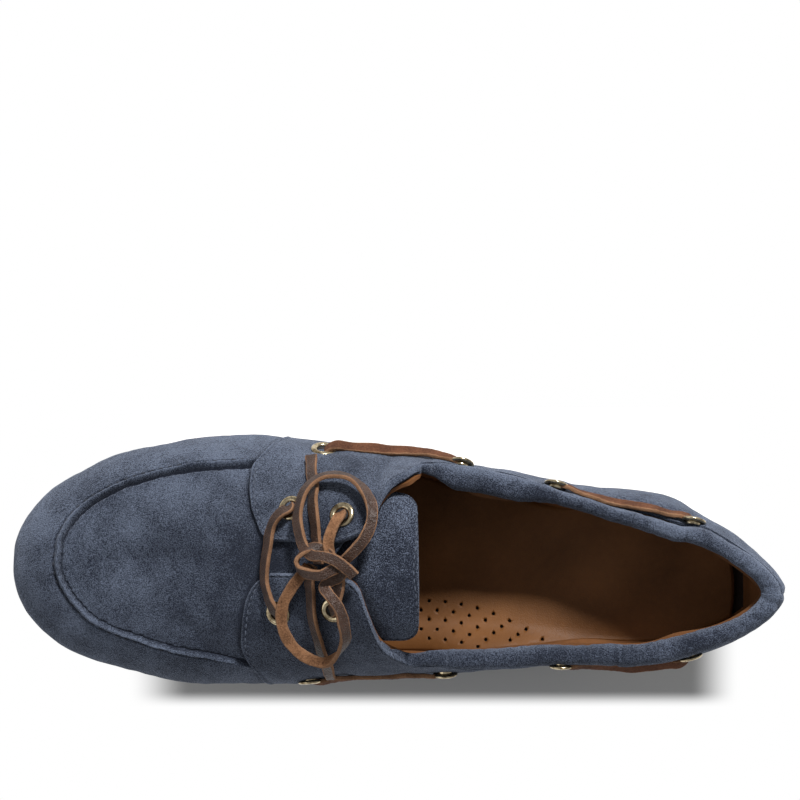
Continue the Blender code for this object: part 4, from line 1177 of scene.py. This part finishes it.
def quarterTop(side):  # the top edge from the heel's seam to the front corner: distance from the heel, angle
    corner, cornerAngle = (quarterFront[side][column][-1] for column in ("fromHeel", "angle"))
    begins, ends = throat["fromHeel"][[0, -1]]
    heel = np.linspace(0, 1, 40)[:-1]
    backAt = np.linspace(shoe["heelRound"], begins - 0.1, 70)
    ray = np.concatenate([heel, rayAt(backAt)])
    at = np.concatenate([plan(side, heel)[0][:, 1], backAt])
    risingAt = np.linspace(begins + 0.6, ends, 60)
    rising = follow(throat, sideName[side], risingAt)
    angle = freeEdge(side, ray, raised=quarter["raised"])
    blended = np.minimum(angle, rising[0] - (risingAt[0] - at) * quarter["slope"])
    angle = mix(angle, blended, smooth(begins - quarter["settle"], begins, at))
    lastRun = np.concatenate([np.linspace(ends, corner - nearEdge[-1], 16)[1:], corner - nearEdge[-2::-1]])
    t = (lastRun - ends) / (corner - ends)
    angle = np.concatenate([angle, rising, mix(rising[-1], cornerAngle, t)])
    return heel, np.concatenate([at, risingAt, lastRun]), angle


def quarterGrid(side):
    heel, topAt, topAngle = quarterTop(side)
    front, low = quarterFront[side], quarter["edge"]
    slant = (topAt - quarter["upright"]) / (front["fromHeel"][-1] - quarter["upright"])
    bottomAt = np.where(slant < 0, topAt, mix(quarter["upright"], front["fromHeel"][0], slant))

    def place(share):
        angle = low + (topAngle[:, None] - low) * share
        straight = mix(front["fromHeel"][0], front["fromHeel"][-1], share)
        lastAngle = low + (topAngle[-1] - low) * share
        swell = follow(front, "fromHeel", lastAngle, key="angle") - straight
        forward = (topAt - quarter["swellFrom"]) / (front["fromHeel"][-1] - quarter["swellFrom"])
        weight = np.clip(forward, 0, 1) ** 2
        at = mix(bottomAt[:, None], topAt[:, None], share) + swell * weight[:, None]
        ray = rayThrough(at, angle)
        ray[: len(heel)] = heel[:, None]
        return ray, angle

    even = np.linspace(0, 1, 160)
    length = bentLength(lastPoint(side, *place(np.broadcast_to(even, (len(topAt), len(even))))), 1)
    total = length[:, -1:]
    wanted = [(total - nearEdge[-1]) * np.linspace(0, 1, 56)[:-1], total - nearEdge[::-1]]
    wanted = np.concatenate(wanted, 1)
    return place(np.array([np.interp(row, run, even) for row, run in zip(wanted, length)]))


def fromEdges(points):  # how far each place lies from the top edge and from the front edge
    up, along = bentLength(points, 1), bentLength(points, 0)
    return up[:, -1:] - up, along[-1:] - along


def foldedEdge(inside, look):  # a folded edge's height: round outside, pulled down by its stitches
    t = np.clip(inside / look["roundEdge"], 0, 1)
    full = np.sqrt(1 - (1 - t) ** 2)
    dip = -look["grooveDeep"] * bell(inside, look["stitchIn"], 0.36)
    return full, dip + look["foldPuff"] * bell(inside, 0.95, 0.45)


def alongEdge(points, normals, distance, wanted, axis):
    # where the distance from an edge takes the wanted value, one place for each row or column
    if axis == 1:
        points, normals, distance = points.swapaxes(0, 1), normals.swapaxes(0, 1), distance.swapaxes(0, 1)
    i = np.argmax(distance <= wanted, axis=0)
    j = np.arange(distance.shape[1])
    a, b = distance[i - 1, j], distance[i, j]
    t = np.clip((a - wanted) / np.maximum(a - b, 1e-9), 0, 1)[:, None]
    return mix(points[i - 1, j], points[i, j], t), unit(mix(normals[i - 1, j], normals[i, j], t))


def lacePull(side, flat):  # how far the side laces press the suede in
    pulled = 0
    for name, (runSide, start, end, _) in sideRuns.items():
        if runSide == side:
            share = (flat[..., 1] - start[0]) / (end[0] - start[0])
            pull = bell(flat[..., 2], mix(start[1], end[1], share), quarter["pullWide"])
            pull = pull * smooth(-0.05, 0.1, share) * smooth(1.05, 0.9, share)
            pulled = pulled + quarter["lacePull"][name.split("_")[1]] * pull
    return pulled


def makeQuarter(side):
    ray, angle = quarterGrid(side)
    flat, normals = lastPoint(side, ray, angle), lastNormal(side, ray, angle)
    below, behind = fromEdges(flat)
    underCollar = 1 - smooth(117, 121, flat[:, -1:, 1])
    inside = np.minimum(np.where(underCollar > 0.5, below + 3.0 * underCollar, below), behind)
    full, dip = foldedEdge(inside, quarter)
    thinner = 1 - quarter["thinToe"] * smooth(30, 8, angle) * smooth(18, 0, behind)
    out = quarter["low"] + (quarter["high"] - quarter["low"]) * thinner * full + dip * (0.25 + 0.75 * full)
    swell = quarter["swell"] * waves(flat, 24, 80 + side)
    out = out + swell * smooth(0.5, 6, inside) * smooth(-70, -30, angle)
    out = out + creases(flat[..., :2], quarterCreases[side]) * smooth(1, 6, inside)
    out = out + quarter["ripple"] * waves(flat, 5, 84) - lacePull(side, flat)
    heelSeam = np.linalg.norm(flat - flat[:1], axis=-1)
    out = out - quarter["heelSeam"] * bell(heelSeam, 0, 0.6) + 0.12 * bell(heelSeam, 1.6, 0.8)
    # lighter nap along the folded edge; painted shade in the stitch groove and at the heel seam
    tone = 0.30 * bell(inside, 0.35, 0.42) - 0.22 * bell(inside, quarter["stitchIn"], 0.35)
    tone = tone - 0.35 * bell(heelSeam, 0, 0.4) + 0.06 * waves(flat, 18, 88 + side)
    tone = tone + shades(flat, quarterShades[side])
    outer, inner = skin(side, ray, angle, out), skin(side, ray, angle, quarter["low"])
    name = "quarter_" + sideName[side]
    dress(shell(name + "_suede", outer, inner, finish["suede"], tone), "blue_suede", name)
    down = alongEdge(outer, normals, behind, quarter["stitchIn"], 0)
    back = alongEdge(outer, normals, below, quarter["stitchIn"], 1)
    keepDown = below[-1] > quarter["stitchIn"]
    keepBack = (behind[:, -1] > quarter["stitchIn"]) & (flat[:, -1, 1] > throat["fromHeel"][0] + 1)
    stitchRoutes[name] = [np.concatenate([a[keepBack], b[keepDown][::-1]]) for a, b in zip(back, down)]


for side in (lateral, medial):
    makeQuarter(side)
print("quarters made")


# tongue: a thicker piece sunk under the facings, its suede darkened by painted shade
tongue = {
    "end": 121.0, "root": 168.0, "edgeAngle": 43.5, "corner": 5.5, "cornerCut": 0.26,
    "sink": 3.3, "thick": 2.2, "roundEdge": 1.0, "stitchIn": 1.75, "grooveDeep": 0.30, "foldPuff": 0.15,
    "swell": 0.30, "halfWide": 34.0,
}


def makeTongue():
    fore = np.concatenate([tongue["end"] + nearEdge, np.linspace(tongue["end"] + 7, tongue["root"], 70)])
    short = np.clip(1 - (fore - tongue["end"]) / tongue["corner"], 0, 1)
    narrower = (90 - tongue["edgeAngle"]) * tongue["cornerCut"] * (1 - np.sqrt(1 - short**2))
    low = tongue["edgeAngle"] + narrower[:, None]
    angle = low + (90 - low) * np.concatenate([nearEdge / tongue["halfWide"], np.linspace(0.2, 1, 40)])
    ray = rayThrough(fore[:, None], angle)
    points, normals = (
        np.concatenate([surface(lateral, ray, angle, True), surface(medial, ray, angle, True)[:, -2::-1]], 1)
        for surface in (lastPoint, lastNormal)
    )
    run, fromEnd = bentLength(points, 1), bentLength(points, 0)
    fromSides = np.minimum(run, run[:, -1:] - run)
    inside = np.minimum(fromSides, fromEnd)
    full, dip = foldedEdge(inside, tongue)
    half = tongue["thick"] / 2
    out = -tongue["sink"] - half + half * full + dip * full
    out = out + tongue["swell"] * waves(points, 15, 101) * smooth(0.5, 5, inside)
    inner = points + normals * (-tongue["sink"] - half - half * full)[..., None]
    outer = points + normals * out[..., None]
    x, at = points[..., 0], points[..., 1]
    # lighter nap along the folded edge; painted shade in the stitch groove, in the gap under the lace bar, on
    # the medial half and along a crease line that the shape doesn't have
    tone = 0.26 * bell(inside, 0.4, 0.4) - 0.16 * bell(inside, tongue["stitchIn"], 0.35)
    tone = tone + 0.05 * waves(points, 12, 103) - 0.35 * smooth(139, 144, at) - 0.06 * smooth(-2, 6, x)
    tone = tone - 0.25 * bell(x, 3.2, 0.8) * smooth(137, 130, at) * smooth(122, 126, at)
    dress(shell("tongue_suede", outer, inner, finish["shadedTongueSuede"], tone), "blue_suede", "tongue")
    j = np.flatnonzero(fromSides[20] > tongue["stitchIn"])
    end = alongEdge(outer[::-1], normals[::-1], fromEnd[::-1], tongue["stitchIn"], 0)
    left = alongEdge(outer[:, ::-1], normals[:, ::-1], run[:, ::-1], tongue["stitchIn"], 1)
    right = alongEdge(outer, normals, run[:, -1:] - run, tongue["stitchIn"], 1)
    behindEnd = fore > tongue["end"] + 3.2
    stitchRoutes["tongue"] = [
        np.concatenate([a[behindEnd][::-1], b[j[4:-4]], c[behindEnd]]) for a, b, c in zip(left, end, right)
    ]


makeTongue()
print("tongue made")


# padded roll round the opening
roll = {
    "corners": 40, "squareness": 0.80, "gather": 0.42, "gatherEvery": 5.2, "gatherWide": 1.0,
    "stitchDeep": 0.55, "stitchTurn": -36, "stepAt": 56.0, "step": 0.45, "swell": 0.16, "ripple": 0.05,
    "ends": {-1: 124.0, 1: 133.0}, "endLong": 15.0, "endSharp": 0.7, "proud": 0.25, "tucked": -0.9,
    "rises": (114.0, 123.0), "aboveThroat": 1.2, "belowEdge": 0.3,
}


def rollHalf(side, rays, across, up):  # the rings of one side, and the way out at each place of theirs
    edgeAt = plan(side, rays)[0][:, 1]
    rising = lastPoint(side, rays, follow(throat, sideName[side], edgeAt))[:, 2] + roll["aboveThroat"]
    top = mix(follow(collar, "top", edgeAt), rising, smooth(*roll["rises"], edgeAt))
    edgeHeight = lastPoint(side, rays, freeEdge(side, rays))[:, 2]
    foot = np.minimum(top - drop(edgeAt) + 0.1, edgeHeight - roll["belowEdge"])
    high = top - foot
    wide = follow(collar, sided("width", side), edgeAt)
    past = np.clip((edgeAt - roll["ends"][side]) / roll["endLong"] + 1, 0, 1)
    ended = np.clip((1 - past**2) ** roll["endSharp"], 0.08, 1)
    middle = foot + high / 2 * ended
    proud = quarter["high"] + mix(roll["tucked"], roll["proud"], ended)
    face = skin(side, rays, angleAtHeight(side, rays, middle), proud)
    inward = inwardWay(side, rays)
    core = face[:, :2] + inward * (wide / 2 * mix(0.3, 1, ended))[:, None]
    flat = core[:, None] - inward[:, None] * (across * wide[:, None] / 2 * ended[:, None])[..., None]
    z = middle[:, None] + high[:, None] / 2 * up * ended[:, None]
    out = -inward[:, None] * across[None, :, None]
    out = np.concatenate([out, np.broadcast_to(up[None, :, None], out.shape[:2] + (1,))], -1)
    return np.concatenate([flat, z[..., None]], -1), unit(out)


def gathers(along, aroundBy):  # dents across the roll, where the stitches gather it
    draw = np.random.default_rng(17)
    dents = np.zeros((len(along), aroundBy.shape[1]))
    for k in range(int(along[-1, 0] / roll["gatherEvery"])):
        middle = (k + draw.uniform(0.15, 0.85)) * roll["gatherEvery"]
        lean = draw.uniform(-0.02, 0.02)
        centre = draw.uniform(60, 130)
        deep = draw.uniform(0.2, 1.0) * roll["gather"]
        wide = roll["gatherWide"] * draw.uniform(0.7, 1.5)
        off = along - middle - lean * (aroundBy - centre)
        dent = 0.3 * bell(np.abs(off), 1.9 * wide, wide) - bell(off, 0, wide)
        dents = dents + deep * dent * bell(aroundBy, centre, 75)
    return dents


def rollTone(at, aroundBy, onMedial):  # lighter on the lateral side and near the heel, darker on the medial side; painted shade on the lateral roll's inner half, and a painted highlight over a painted shade line at the step
    tone = -mix(0.13, 0.17, smooth(50, 60, at)) * onMedial * smooth(10, 24, at)
    tone = tone + 0.14 * ~onMedial * smooth(50, 70, at) + 0.12 * smooth(24, 12, at)
    # painted shade: the inner half of the lateral roll is darker
    innerHalf = smooth(45, 100, aroundBy) * smooth(46, 64, at) * smooth(128, 122, at)
    tone = tone - 0.34 * ~onMedial * innerHalf - 0.14 * onMedial * bell(at, 42, 12)
    step = 0.30 * bell(at, roll["stepAt"] - 0.4, 0.5) - 0.30 * bell(at, roll["stepAt"] + 0.6, 0.7)
    return tone + onMedial * step


def makeRoll():
    heel = np.linspace(0, 1, 90)[:-1]
    turn = np.linspace(0, 2 * math.pi, roll["corners"], endpoint=False) - math.pi / 2
    across, up = (np.sign(part) * np.abs(part) ** roll["squareness"] for part in (np.cos(turn), np.sin(turn)))
    halves = []
    for side in (lateral, medial):
        rays = np.concatenate([heel, rayAt(np.linspace(shoe["heelRound"], roll["ends"][side], 170))])
        halves.append(rollHalf(side, rays, across, up))
    loop, out = (np.concatenate([one[:0:-1], other]) for one, other in zip(*halves))
    core = loop.mean(1)
    along, at = bentLength(core, 0)[:, None], core[:, None, 1]
    onMedial = (np.arange(len(loop)) >= len(loop) // 2)[:, None]
    aroundBy = np.degrees(turn)[None]
    fromEnds = np.minimum(along, along[-1] - along)
    fade = smooth(0, 12, fromEnds)
    groove = bell(aroundBy, roll["stitchTurn"], 9) * smooth(0, 9, fromEnds)
    dents = gathers(along, aroundBy)
    step = roll["step"] * onMedial * (1 - smooth(-0.25, 0.25, at - roll["stepAt"]))
    relief = dents * fade - roll["stitchDeep"] * groove
    relief = relief + step * smooth(-60, -20, aroundBy) * smooth(200, 150, aroundBy)
    relief = relief + roll["swell"] * waves(loop, 15, 120) * fade + roll["ripple"] * waves(loop, 4, 121)
    # painted shade in the gathers' dents and the stitch groove, painted highlight on the roll's upper outer
    # face
    tone = 0.3 * np.minimum(dents, 0) - 0.40 * groove + 0.10 * bell(aroundBy, 20, 40)
    tone = tone + 0.05 * waves(loop, 14, 123) + rollTone(at, aroundBy, onMedial)
    points = loop + out * relief[..., None]
    made = meshFrom("collar_roll", points, tubeFaces(*points.shape[:2]), [finish["suede"]], tone)
    dress(made, "blue_suede", "collar")
    j = int(np.argmin(np.abs(aroundBy[0] - roll["stitchTurn"])))
    stitchRoutes["collar"] = points[12:-12, j], out[12:-12, j]


makeRoll()
print("collar made")


# insole: leather sock on its board, raised at the arch, perforated on the inner side
insole = {
    "heelEnd": 14.4, "heelBow": 0.012, "thick": 3.0, "board": 1.3, "boardIn": 4.6, "roundEdge": 1.1,
    "clear": 0.4, "swell": 0.10, "seat": 0.8, "seatAt": 34.0,
    "arch": 4.2, "archAt": 94.0, "archReach": 30.0, "curl": 5.5,
    "holeWide": 1.1, "holePitch": 5.4, "holeRows": 5, "rowApart": 3.1, "holesFrom": 117.0, "holesTo": 78.0,
    "holesIn": 5.4, "holeSink": 0.4, "holesInner": 13.7, "holesCurve": 11.5, "holesLong": 37.0,
}


def sockHeight(x, at):
    inwards = x - follow(last, "spine", at)
    arch = insole["arch"] * smooth(4, 24, inwards) + insole["curl"] * smooth(18, 28, inwards)
    arch = arch * bell(at, insole["archAt"], insole["archReach"])
    seat = insole["seat"] * bell(at, insole["seatAt"], 22) * bell(inwards, 0, 14)
    return follow(sole, "top", at) + shoe["gap"] + insole["thick"] + arch - seat


def holePlaces():  # curved rows on the medial side of the arch
    places = []
    for row in range(insole["holeRows"]):
        at = insole["holesFrom"] + (row % 2) * insole["holePitch"] / 2
        while at > insole["holesTo"]:
            along = (insole["holesFrom"] + 0.5 - at) / insole["holesLong"]
            x = insole["holesInner"] + insole["holesCurve"] * along**2 + row * insole["rowApart"]
            if x < plan(medial, rayAt(at))[0][0] - insole["holesIn"]:
                places.append((x, at, float(sockHeight(x, at)) - insole["holeSink"]))
            at -= insole["holePitch"]
    return places


def makeInsole():
    rays = halfRays(50, 110, 60)
    turn = np.radians([20, 40, 60, 80])
    inset = insole["clear"] + np.concatenate([[0], insole["roundEdge"] * (1 - np.cos(turn))])
    lower = np.concatenate([[insole["roundEdge"]], insole["roundEdge"] * (1 - np.sin(turn))])
    boardRings = 7

    def half(side):
        feather, spine = solePlan(side, rays, insole["boardIn"])[0], plan(side, rays)[1]
        rim = plan(side, rays)[0]
        for _ in range(4):  # out to the lining, at the sock's own height
            rim = liningInside(side, rays, sockHeight(rim[:, 0], rim[:, 1]))[:, :2]

        def ring(edge, share, z=None, down=0.0, more=0.0):
            flat = mix(edge, spine, share)
            heelEnd = insole["heelEnd"] + more + insole["heelBow"] * (flat[:, 0] - 9) ** 2
            flat[:, 1] = np.maximum(flat[:, 1], heelEnd)
            z = sockHeight(flat[:, 0], flat[:, 1]) - down if z is None else z(flat[:, 1])
            return np.concatenate([flat, z[:, None]], -1)

        def boardRing(share, up):
            return ring(feather, share, lambda at: follow(sole, "top", at) + shoe["gap"] + up)

        def sockRing(more, share=0.0, down=0.0):
            return ring(rim + inwardWay(side, rays) * more, share, down=down, more=more)

        rings = [boardRing(share, 0) for share in (1, 0.6, 0.3, 0)]
        rings += [boardRing(0, insole["board"] - 0.2), boardRing(0, insole["board"])]
        rings += [sockRing(insole["clear"], down=insole["thick"] - insole["board"])]
        rings += [sockRing(more, down=down) for more, down in zip(inset, lower)]
        rings += [sockRing(insole["clear"] + insole["roundEdge"], share) for share in np.linspace(0, 1, 22)]
        return [np.stack(rings, 1)]

    (grid,) = roundTheShoe(half)
    grid[:, boardRings + 5 :, 2] += insole["swell"] * waves(grid[:, boardRings + 5 :], 22, 140)
    rows = grid.shape[1]
    tone = 0.10 * waves(grid, 26, 141)
    slots = np.tile(np.arange(rows - 1) < boardRings, len(grid))
    faces = gridFaces(len(grid), rows, 0, True)
    # the board's rings take the painted crevice shade
    made = meshFrom("insole_sock", grid, faces, [finish["sock"], finish["creviceShade"]], tone, slots)
    width = {"Width": insole["holeWide"] / 1000}
    # the holes' walls take the painted crevice shade
    cutter = holeCutter.grown("sock_holes", pointCloud(holePlaces()), finish["creviceShade"], **width)
    cutter.data.polygons.foreach_set("material_index", np.ones(len(cutter.data.polygons), np.int32))
    cut = made.modifiers.new("holes", "BOOLEAN")
    cut.operation, cut.solver, cut.object = "DIFFERENCE", "EXACT", cutter
    mesh = finished(made)
    made.modifiers.clear()
    made.data = mesh
    bpy.data.objects.remove(cutter)
    dress(made, "tan_leather", "insole")


makeInsole()
print("insole made")


# sole: one moulding with a stitched groove under its lip, a rim and wavy ribs underneath
outsole = {
    "rim": 4.6, "recess": 0.9, "round": 1.4, "groove": 0.75, "lipAt": 3.0,
    "ribPitch": 3.7, "ribWide": 2.5, "ribWave": 0.9, "ribWaveLong": 9.0,
    "ribsHeel": (13, 59), "ribsFore": (126, 243),
}
lipProfile = [  # inset, and depth below the top, down the outside from the lip
    (0, 4.3), (0, 3.7), (0.25, 3.45), (0.6, 3.2), (0.75, 3.0), (0.6, 2.8), (0.25, 2.55), (0, 2.3),
    (-0.05, 1.6), (0, 0.8), (0.15, 0.4), (0.4, 0.12), (0.9, 0),
]


def makeOutsole():
    rays = np.concatenate([np.linspace(0, 1, 70)[:-1], rayAt(np.linspace(shoe["heelRound"], 72, 40))[:-1]])
    rays = np.concatenate([rays, rayAt(np.linspace(72, shoe["ball"], 90))[:-1], 2 + np.linspace(0, 1, 80)])
    rim, recess, edgeRound = outsole["rim"], outsole["recess"], outsole["round"]
    # rows: inset, share of the way to the spine, height above the bottom, depth below the top
    rows = [(rim + 0.35, share, recess, None) for share in np.linspace(1, 0, 14)]
    rows += [(rim, 0, recess, None), (rim - 0.25, 0, 0.12, None)]
    rows += [(inset, 0, 0, None) for inset in (rim - 0.5, rim - 1.5, edgeRound)]
    for turn in np.radians((22, 45, 68, 90)):
        rows.append((edgeRound * (1 - math.sin(turn)), 0, edgeRound * (1 - math.cos(turn)), None))
    rows += [(inset, 0, None, down) for inset, down in lipProfile]
    topRows = 7
    rows += [(1.2, share, None, 0) for share in np.linspace(0, 1, topRows)]

    def half(side):
        rings = []
        for inset, share, up, down in rows:
            edge, spine = solePlan(side, rays, inset)
            flat = mix(edge, spine, share)
            bottom, top = follow(sole, "bottom", flat[:, 1]), follow(sole, "top", flat[:, 1])
            z = bottom + up if down is None else top - down
            if down is not None and down > 2.2:  # the groove stays clear of the rounded edge
                z = np.maximum(z, bottom + edgeRound + 0.3 * (4.5 - down))
            rings.append(np.concatenate([flat, z[:, None]], -1))
        line = solePlan(side, rays, outsole["groove"] - 0.1)[0]
        z = follow(sole, "top", line[:, 1]) - outsole["lipAt"]
        return np.stack(rings, 1), np.concatenate([line, z[:, None]], -1)

    grid, line = roundTheShoe(half)
    low = grid[..., 2] < 3
    tone = 0.05 * waves(grid, 30, 150) - 0.30 * np.exp(-np.clip(grid[..., 2], 0, None) / 1.2) * low
    faces = gridFaces(len(grid), len(rows), 0, True)
    slots = np.tile(np.arange(len(rows) - 1) >= len(rows) - topRows, len(grid))
    # the top rows, hidden under the upper, take the painted crevice shade
    made = meshFrom("sole_moulding", grid, faces, [finish["rubber"], finish["creviceShade"]], tone, slots)
    dress(made, "sole_rubber", "outsole")
    line = np.concatenate([line, line[:1]])
    way = np.gradient(line, axis=0)
    outward = unit(np.stack([-way[:, 1], way[:, 0], 0 * way[:, 0]], -1))
    flip = np.sign(((line[:, :2] - line[:, :2].mean(0)) * outward[:, :2]).sum(-1))[:, None]
    stitchRoutes["sole"] = line, outward * flip


def makeTread():
    rays = halfRays(60, 160, 60)
    insides = [solePlan(side, rays, outsole["rim"] - 0.2)[0] for side in (lateral, medial)]
    insides = [line[np.argsort(line[:, 1])] for line in insides]
    places, edges = [], []
    starts = [np.arange(*outsole[part], outsole["ribPitch"]) for part in ("ribsHeel", "ribsFore")]
    for at in np.concatenate(starts):
        left, right = (float(np.interp(at, line[:, 1], line[:, 0])) for line in insides)
        count = int(right - left)
        if count < 6:
            continue
        x = np.linspace(left, right, count)
        wave = at + outsole["ribWave"] * np.sin(2 * math.pi * x / outsole["ribWaveLong"])
        first = len(places)
        z = follow(sole, "bottom", wave) + outsole["recess"] / 2 + 0.01
        places += np.stack([x, wave, z], -1).tolist()
        edges += [(first + k, first + k + 1) for k in range(count - 1)]
    sizes = {"Width": outsole["ribWide"] / 1000, "Height": outsole["recess"] / 1000}
    route = pointCloud(places, None, edges)
    dress(ribber.grown("tread_ribs", route, finish["rubber"], **sizes), "sole_rubber")


makeOutsole()
makeTread()
print("sole made")


# brass eyelets: four on the facings, four on each side
eyelet = {"middle": 3.12, "roll": 1.02, "flatness": 0.62, "lift": 2.05, "above": 0.95, "wallAngle": 25.0}
facingEyelets = [(-19.5, 162.4), (-17.7, 145.7), (15.3, 166.6), (13.8, 148.7)]
sideLeans = {  # how far each ring of a run leans up
    "lateral_front": (0.2, -0.6), "lateral_rear": (-0.55, -0.6),
    "medial_front": (-0.2, -0.3), "medial_rear": (-0.3, -0.3),
}


def onWall(side, at, z):
    ray = rayThrough(at, eyelet["wallAngle"])
    return ray, angleAtHeight(side, ray, z)


def makeEyelets():
    spots = [(under(x, at, eyelet["lift"] + eyelet["above"]), 0) for x, at in facingEyelets]
    for name, (side, *ends, _) in sideRuns.items():
        spots += [((side, *onWall(side, *end)), lean) for end, lean in zip(ends, sideLeans[name])]
    places = [skin(*spot, eyelet["lift"]) for spot, _ in spots]
    facings = unit(np.array([lastNormal(*spot) + (0, 0, lean) for spot, lean in spots]))
    sizes = {"Middle": eyelet["middle"] / 1000, "Roll": eyelet["roll"] / 1000, "Flatness": eyelet["flatness"]}
    nodes = [node for node in frame["nodes"] if node.startswith("eyelet")]
    rings = ringer.grown("eyelet_rings", pointCloud(places, facings), finish["brass"], **sizes)
    dress(rings, "brass", *nodes)
    # painted shade: a near-black disc sunk in each eyelet's hole
    holeShadeDiscs = holeShadeMaker.grown("eyelet_hole_shade", pointCloud(places, facings), finish["hollow"])
    dress(holeShadeDiscs, "lace_leather")


makeEyelets()
print("eyelets made")


# side laces: each stretch rises out of one eyelet and sinks into the next
sideLace = {  # lengths in millimetres; the places and reaches along it are shares of a stretch
    "bulge": 0.5, "bulgeAt": 0.10, "bulgeWide": 0.05, "wander": 0.3, "dip": 0.4, "dipEnds": 0.035,
    "leanEnds": 0.16, "pulled": 0.8, "pulledEnds": 0.15,
}


def makeSideLaces():
    seed = 400
    share = np.concatenate([[0, 0.004, 0.02, 0.05], np.linspace(0.1, 0.9, 17), [0.95, 0.98, 0.996, 1]])
    nearEnd = np.minimum(share, 1 - share)
    for name, (side, start, end, ups) in sideRuns.items():
        seed += 10
        at = mix(start[0], end[0], share)
        z = mix(start[1], end[1], share) + sideLace["wander"] * np.sin(share * math.pi * 2 + seed)
        ray, angle = onWall(side, at, z)
        normal = lastNormal(side, ray, angle)
        lean = mix(*ups, share) * smooth(0, sideLace["leanEnds"], nearEnd)
        facing = unit(normal + np.array([0, 0, 1]) * lean[:, None])
        leaning = (facing * normal).sum(-1)
        lift = quarter["high"] + lace["wide"] / 2 * np.sqrt(np.clip(1 - leaning**2, 0, 1))
        lift = lift + lace["thick"] / 2 * leaning
        pull = quarter["lacePull"][name.split("_")[1]] * sideLace["pulled"]
        lift = lift - pull * smooth(0, sideLace["pulledEnds"], nearEnd)
        lift = mix(sideLace["dip"], lift, smooth(0, sideLace["dipEnds"], nearEnd))
        lift = lift + sideLace["bulge"] * bell(nearEnd, sideLace["bulgeAt"], sideLace["bulgeWide"])
        points = toWorld(skin(side, ray, angle, lift)) * 1000
        rows = np.concatenate([points, turned(facing), np.zeros((len(share), 1))], -1)
        made, _ = strip("side_lace_" + name + "_strip", rows, seed, flip=True, back="sideGrain")
        dress(made, "lace_leather", "side_lace_" + name)


makeSideLaces()
print("side laces made")


# stitches: every visible seam line
fineRow = ("thread", "blue_suede", 2.5, 1.9, 0.50)
seams = {  # thread, slot, pitch, length, thickness, seed
    "quarter_lateral": (*fineRow, 5), "quarter_medial": (*fineRow, 5), "tongue": (*fineRow, 6),
    "apron": ("darkThread", "blue_suede", 3.0, 1.5, 0.60, 4), "collar": (*fineRow, 7),
    "sole": ("paleThread", "sole_rubber", 4.2, 3.0, 0.75, 8),
    "heel_lateral": (*fineRow, 9), "heel_medial": (*fineRow, 9),
}
heelRow = {"beside": 1.9, "foot": -60.0, "short": 1.5, "proud": 0.12, "count": 40}


def addHeelRow(side):  # a row beside the heel's seam
    top = float(freeEdge(side, np.array([0.0]))[0]) - heelRow["short"]
    angle = np.linspace(heelRow["foot"], top, heelRow["count"])
    ray = np.linspace(0, 0.4, 300)[:, None]
    off = bentLength(lastPoint(side, ray, angle), 0)
    at = np.array([np.interp(heelRow["beside"], column, ray[:, 0]) for column in off.T])
    row = skin(side, at, angle, quarter["high"] + heelRow["proud"]), lastNormal(side, at, angle)
    stitchRoutes["heel_" + sideName[side]] = row


def makeStitches():
    for name, (thread, slot, pitch, length, thick, seed) in seams.items():
        points, facings = stitchRoutes[name]
        route = pointCloud(points, facings, [(k, k + 1) for k in range(len(points) - 1)])
        sizes = {"Pitch": pitch / 1000, "Length": length / 1000, "Thickness": thick / 1000, "Seed": seed}
        dress(stitcher.grown("stitches_" + name, route, finish[thread], **sizes), slot)


for side in (lateral, medial):
    addHeelRow(side)
makeStitches()
print("stitches made")
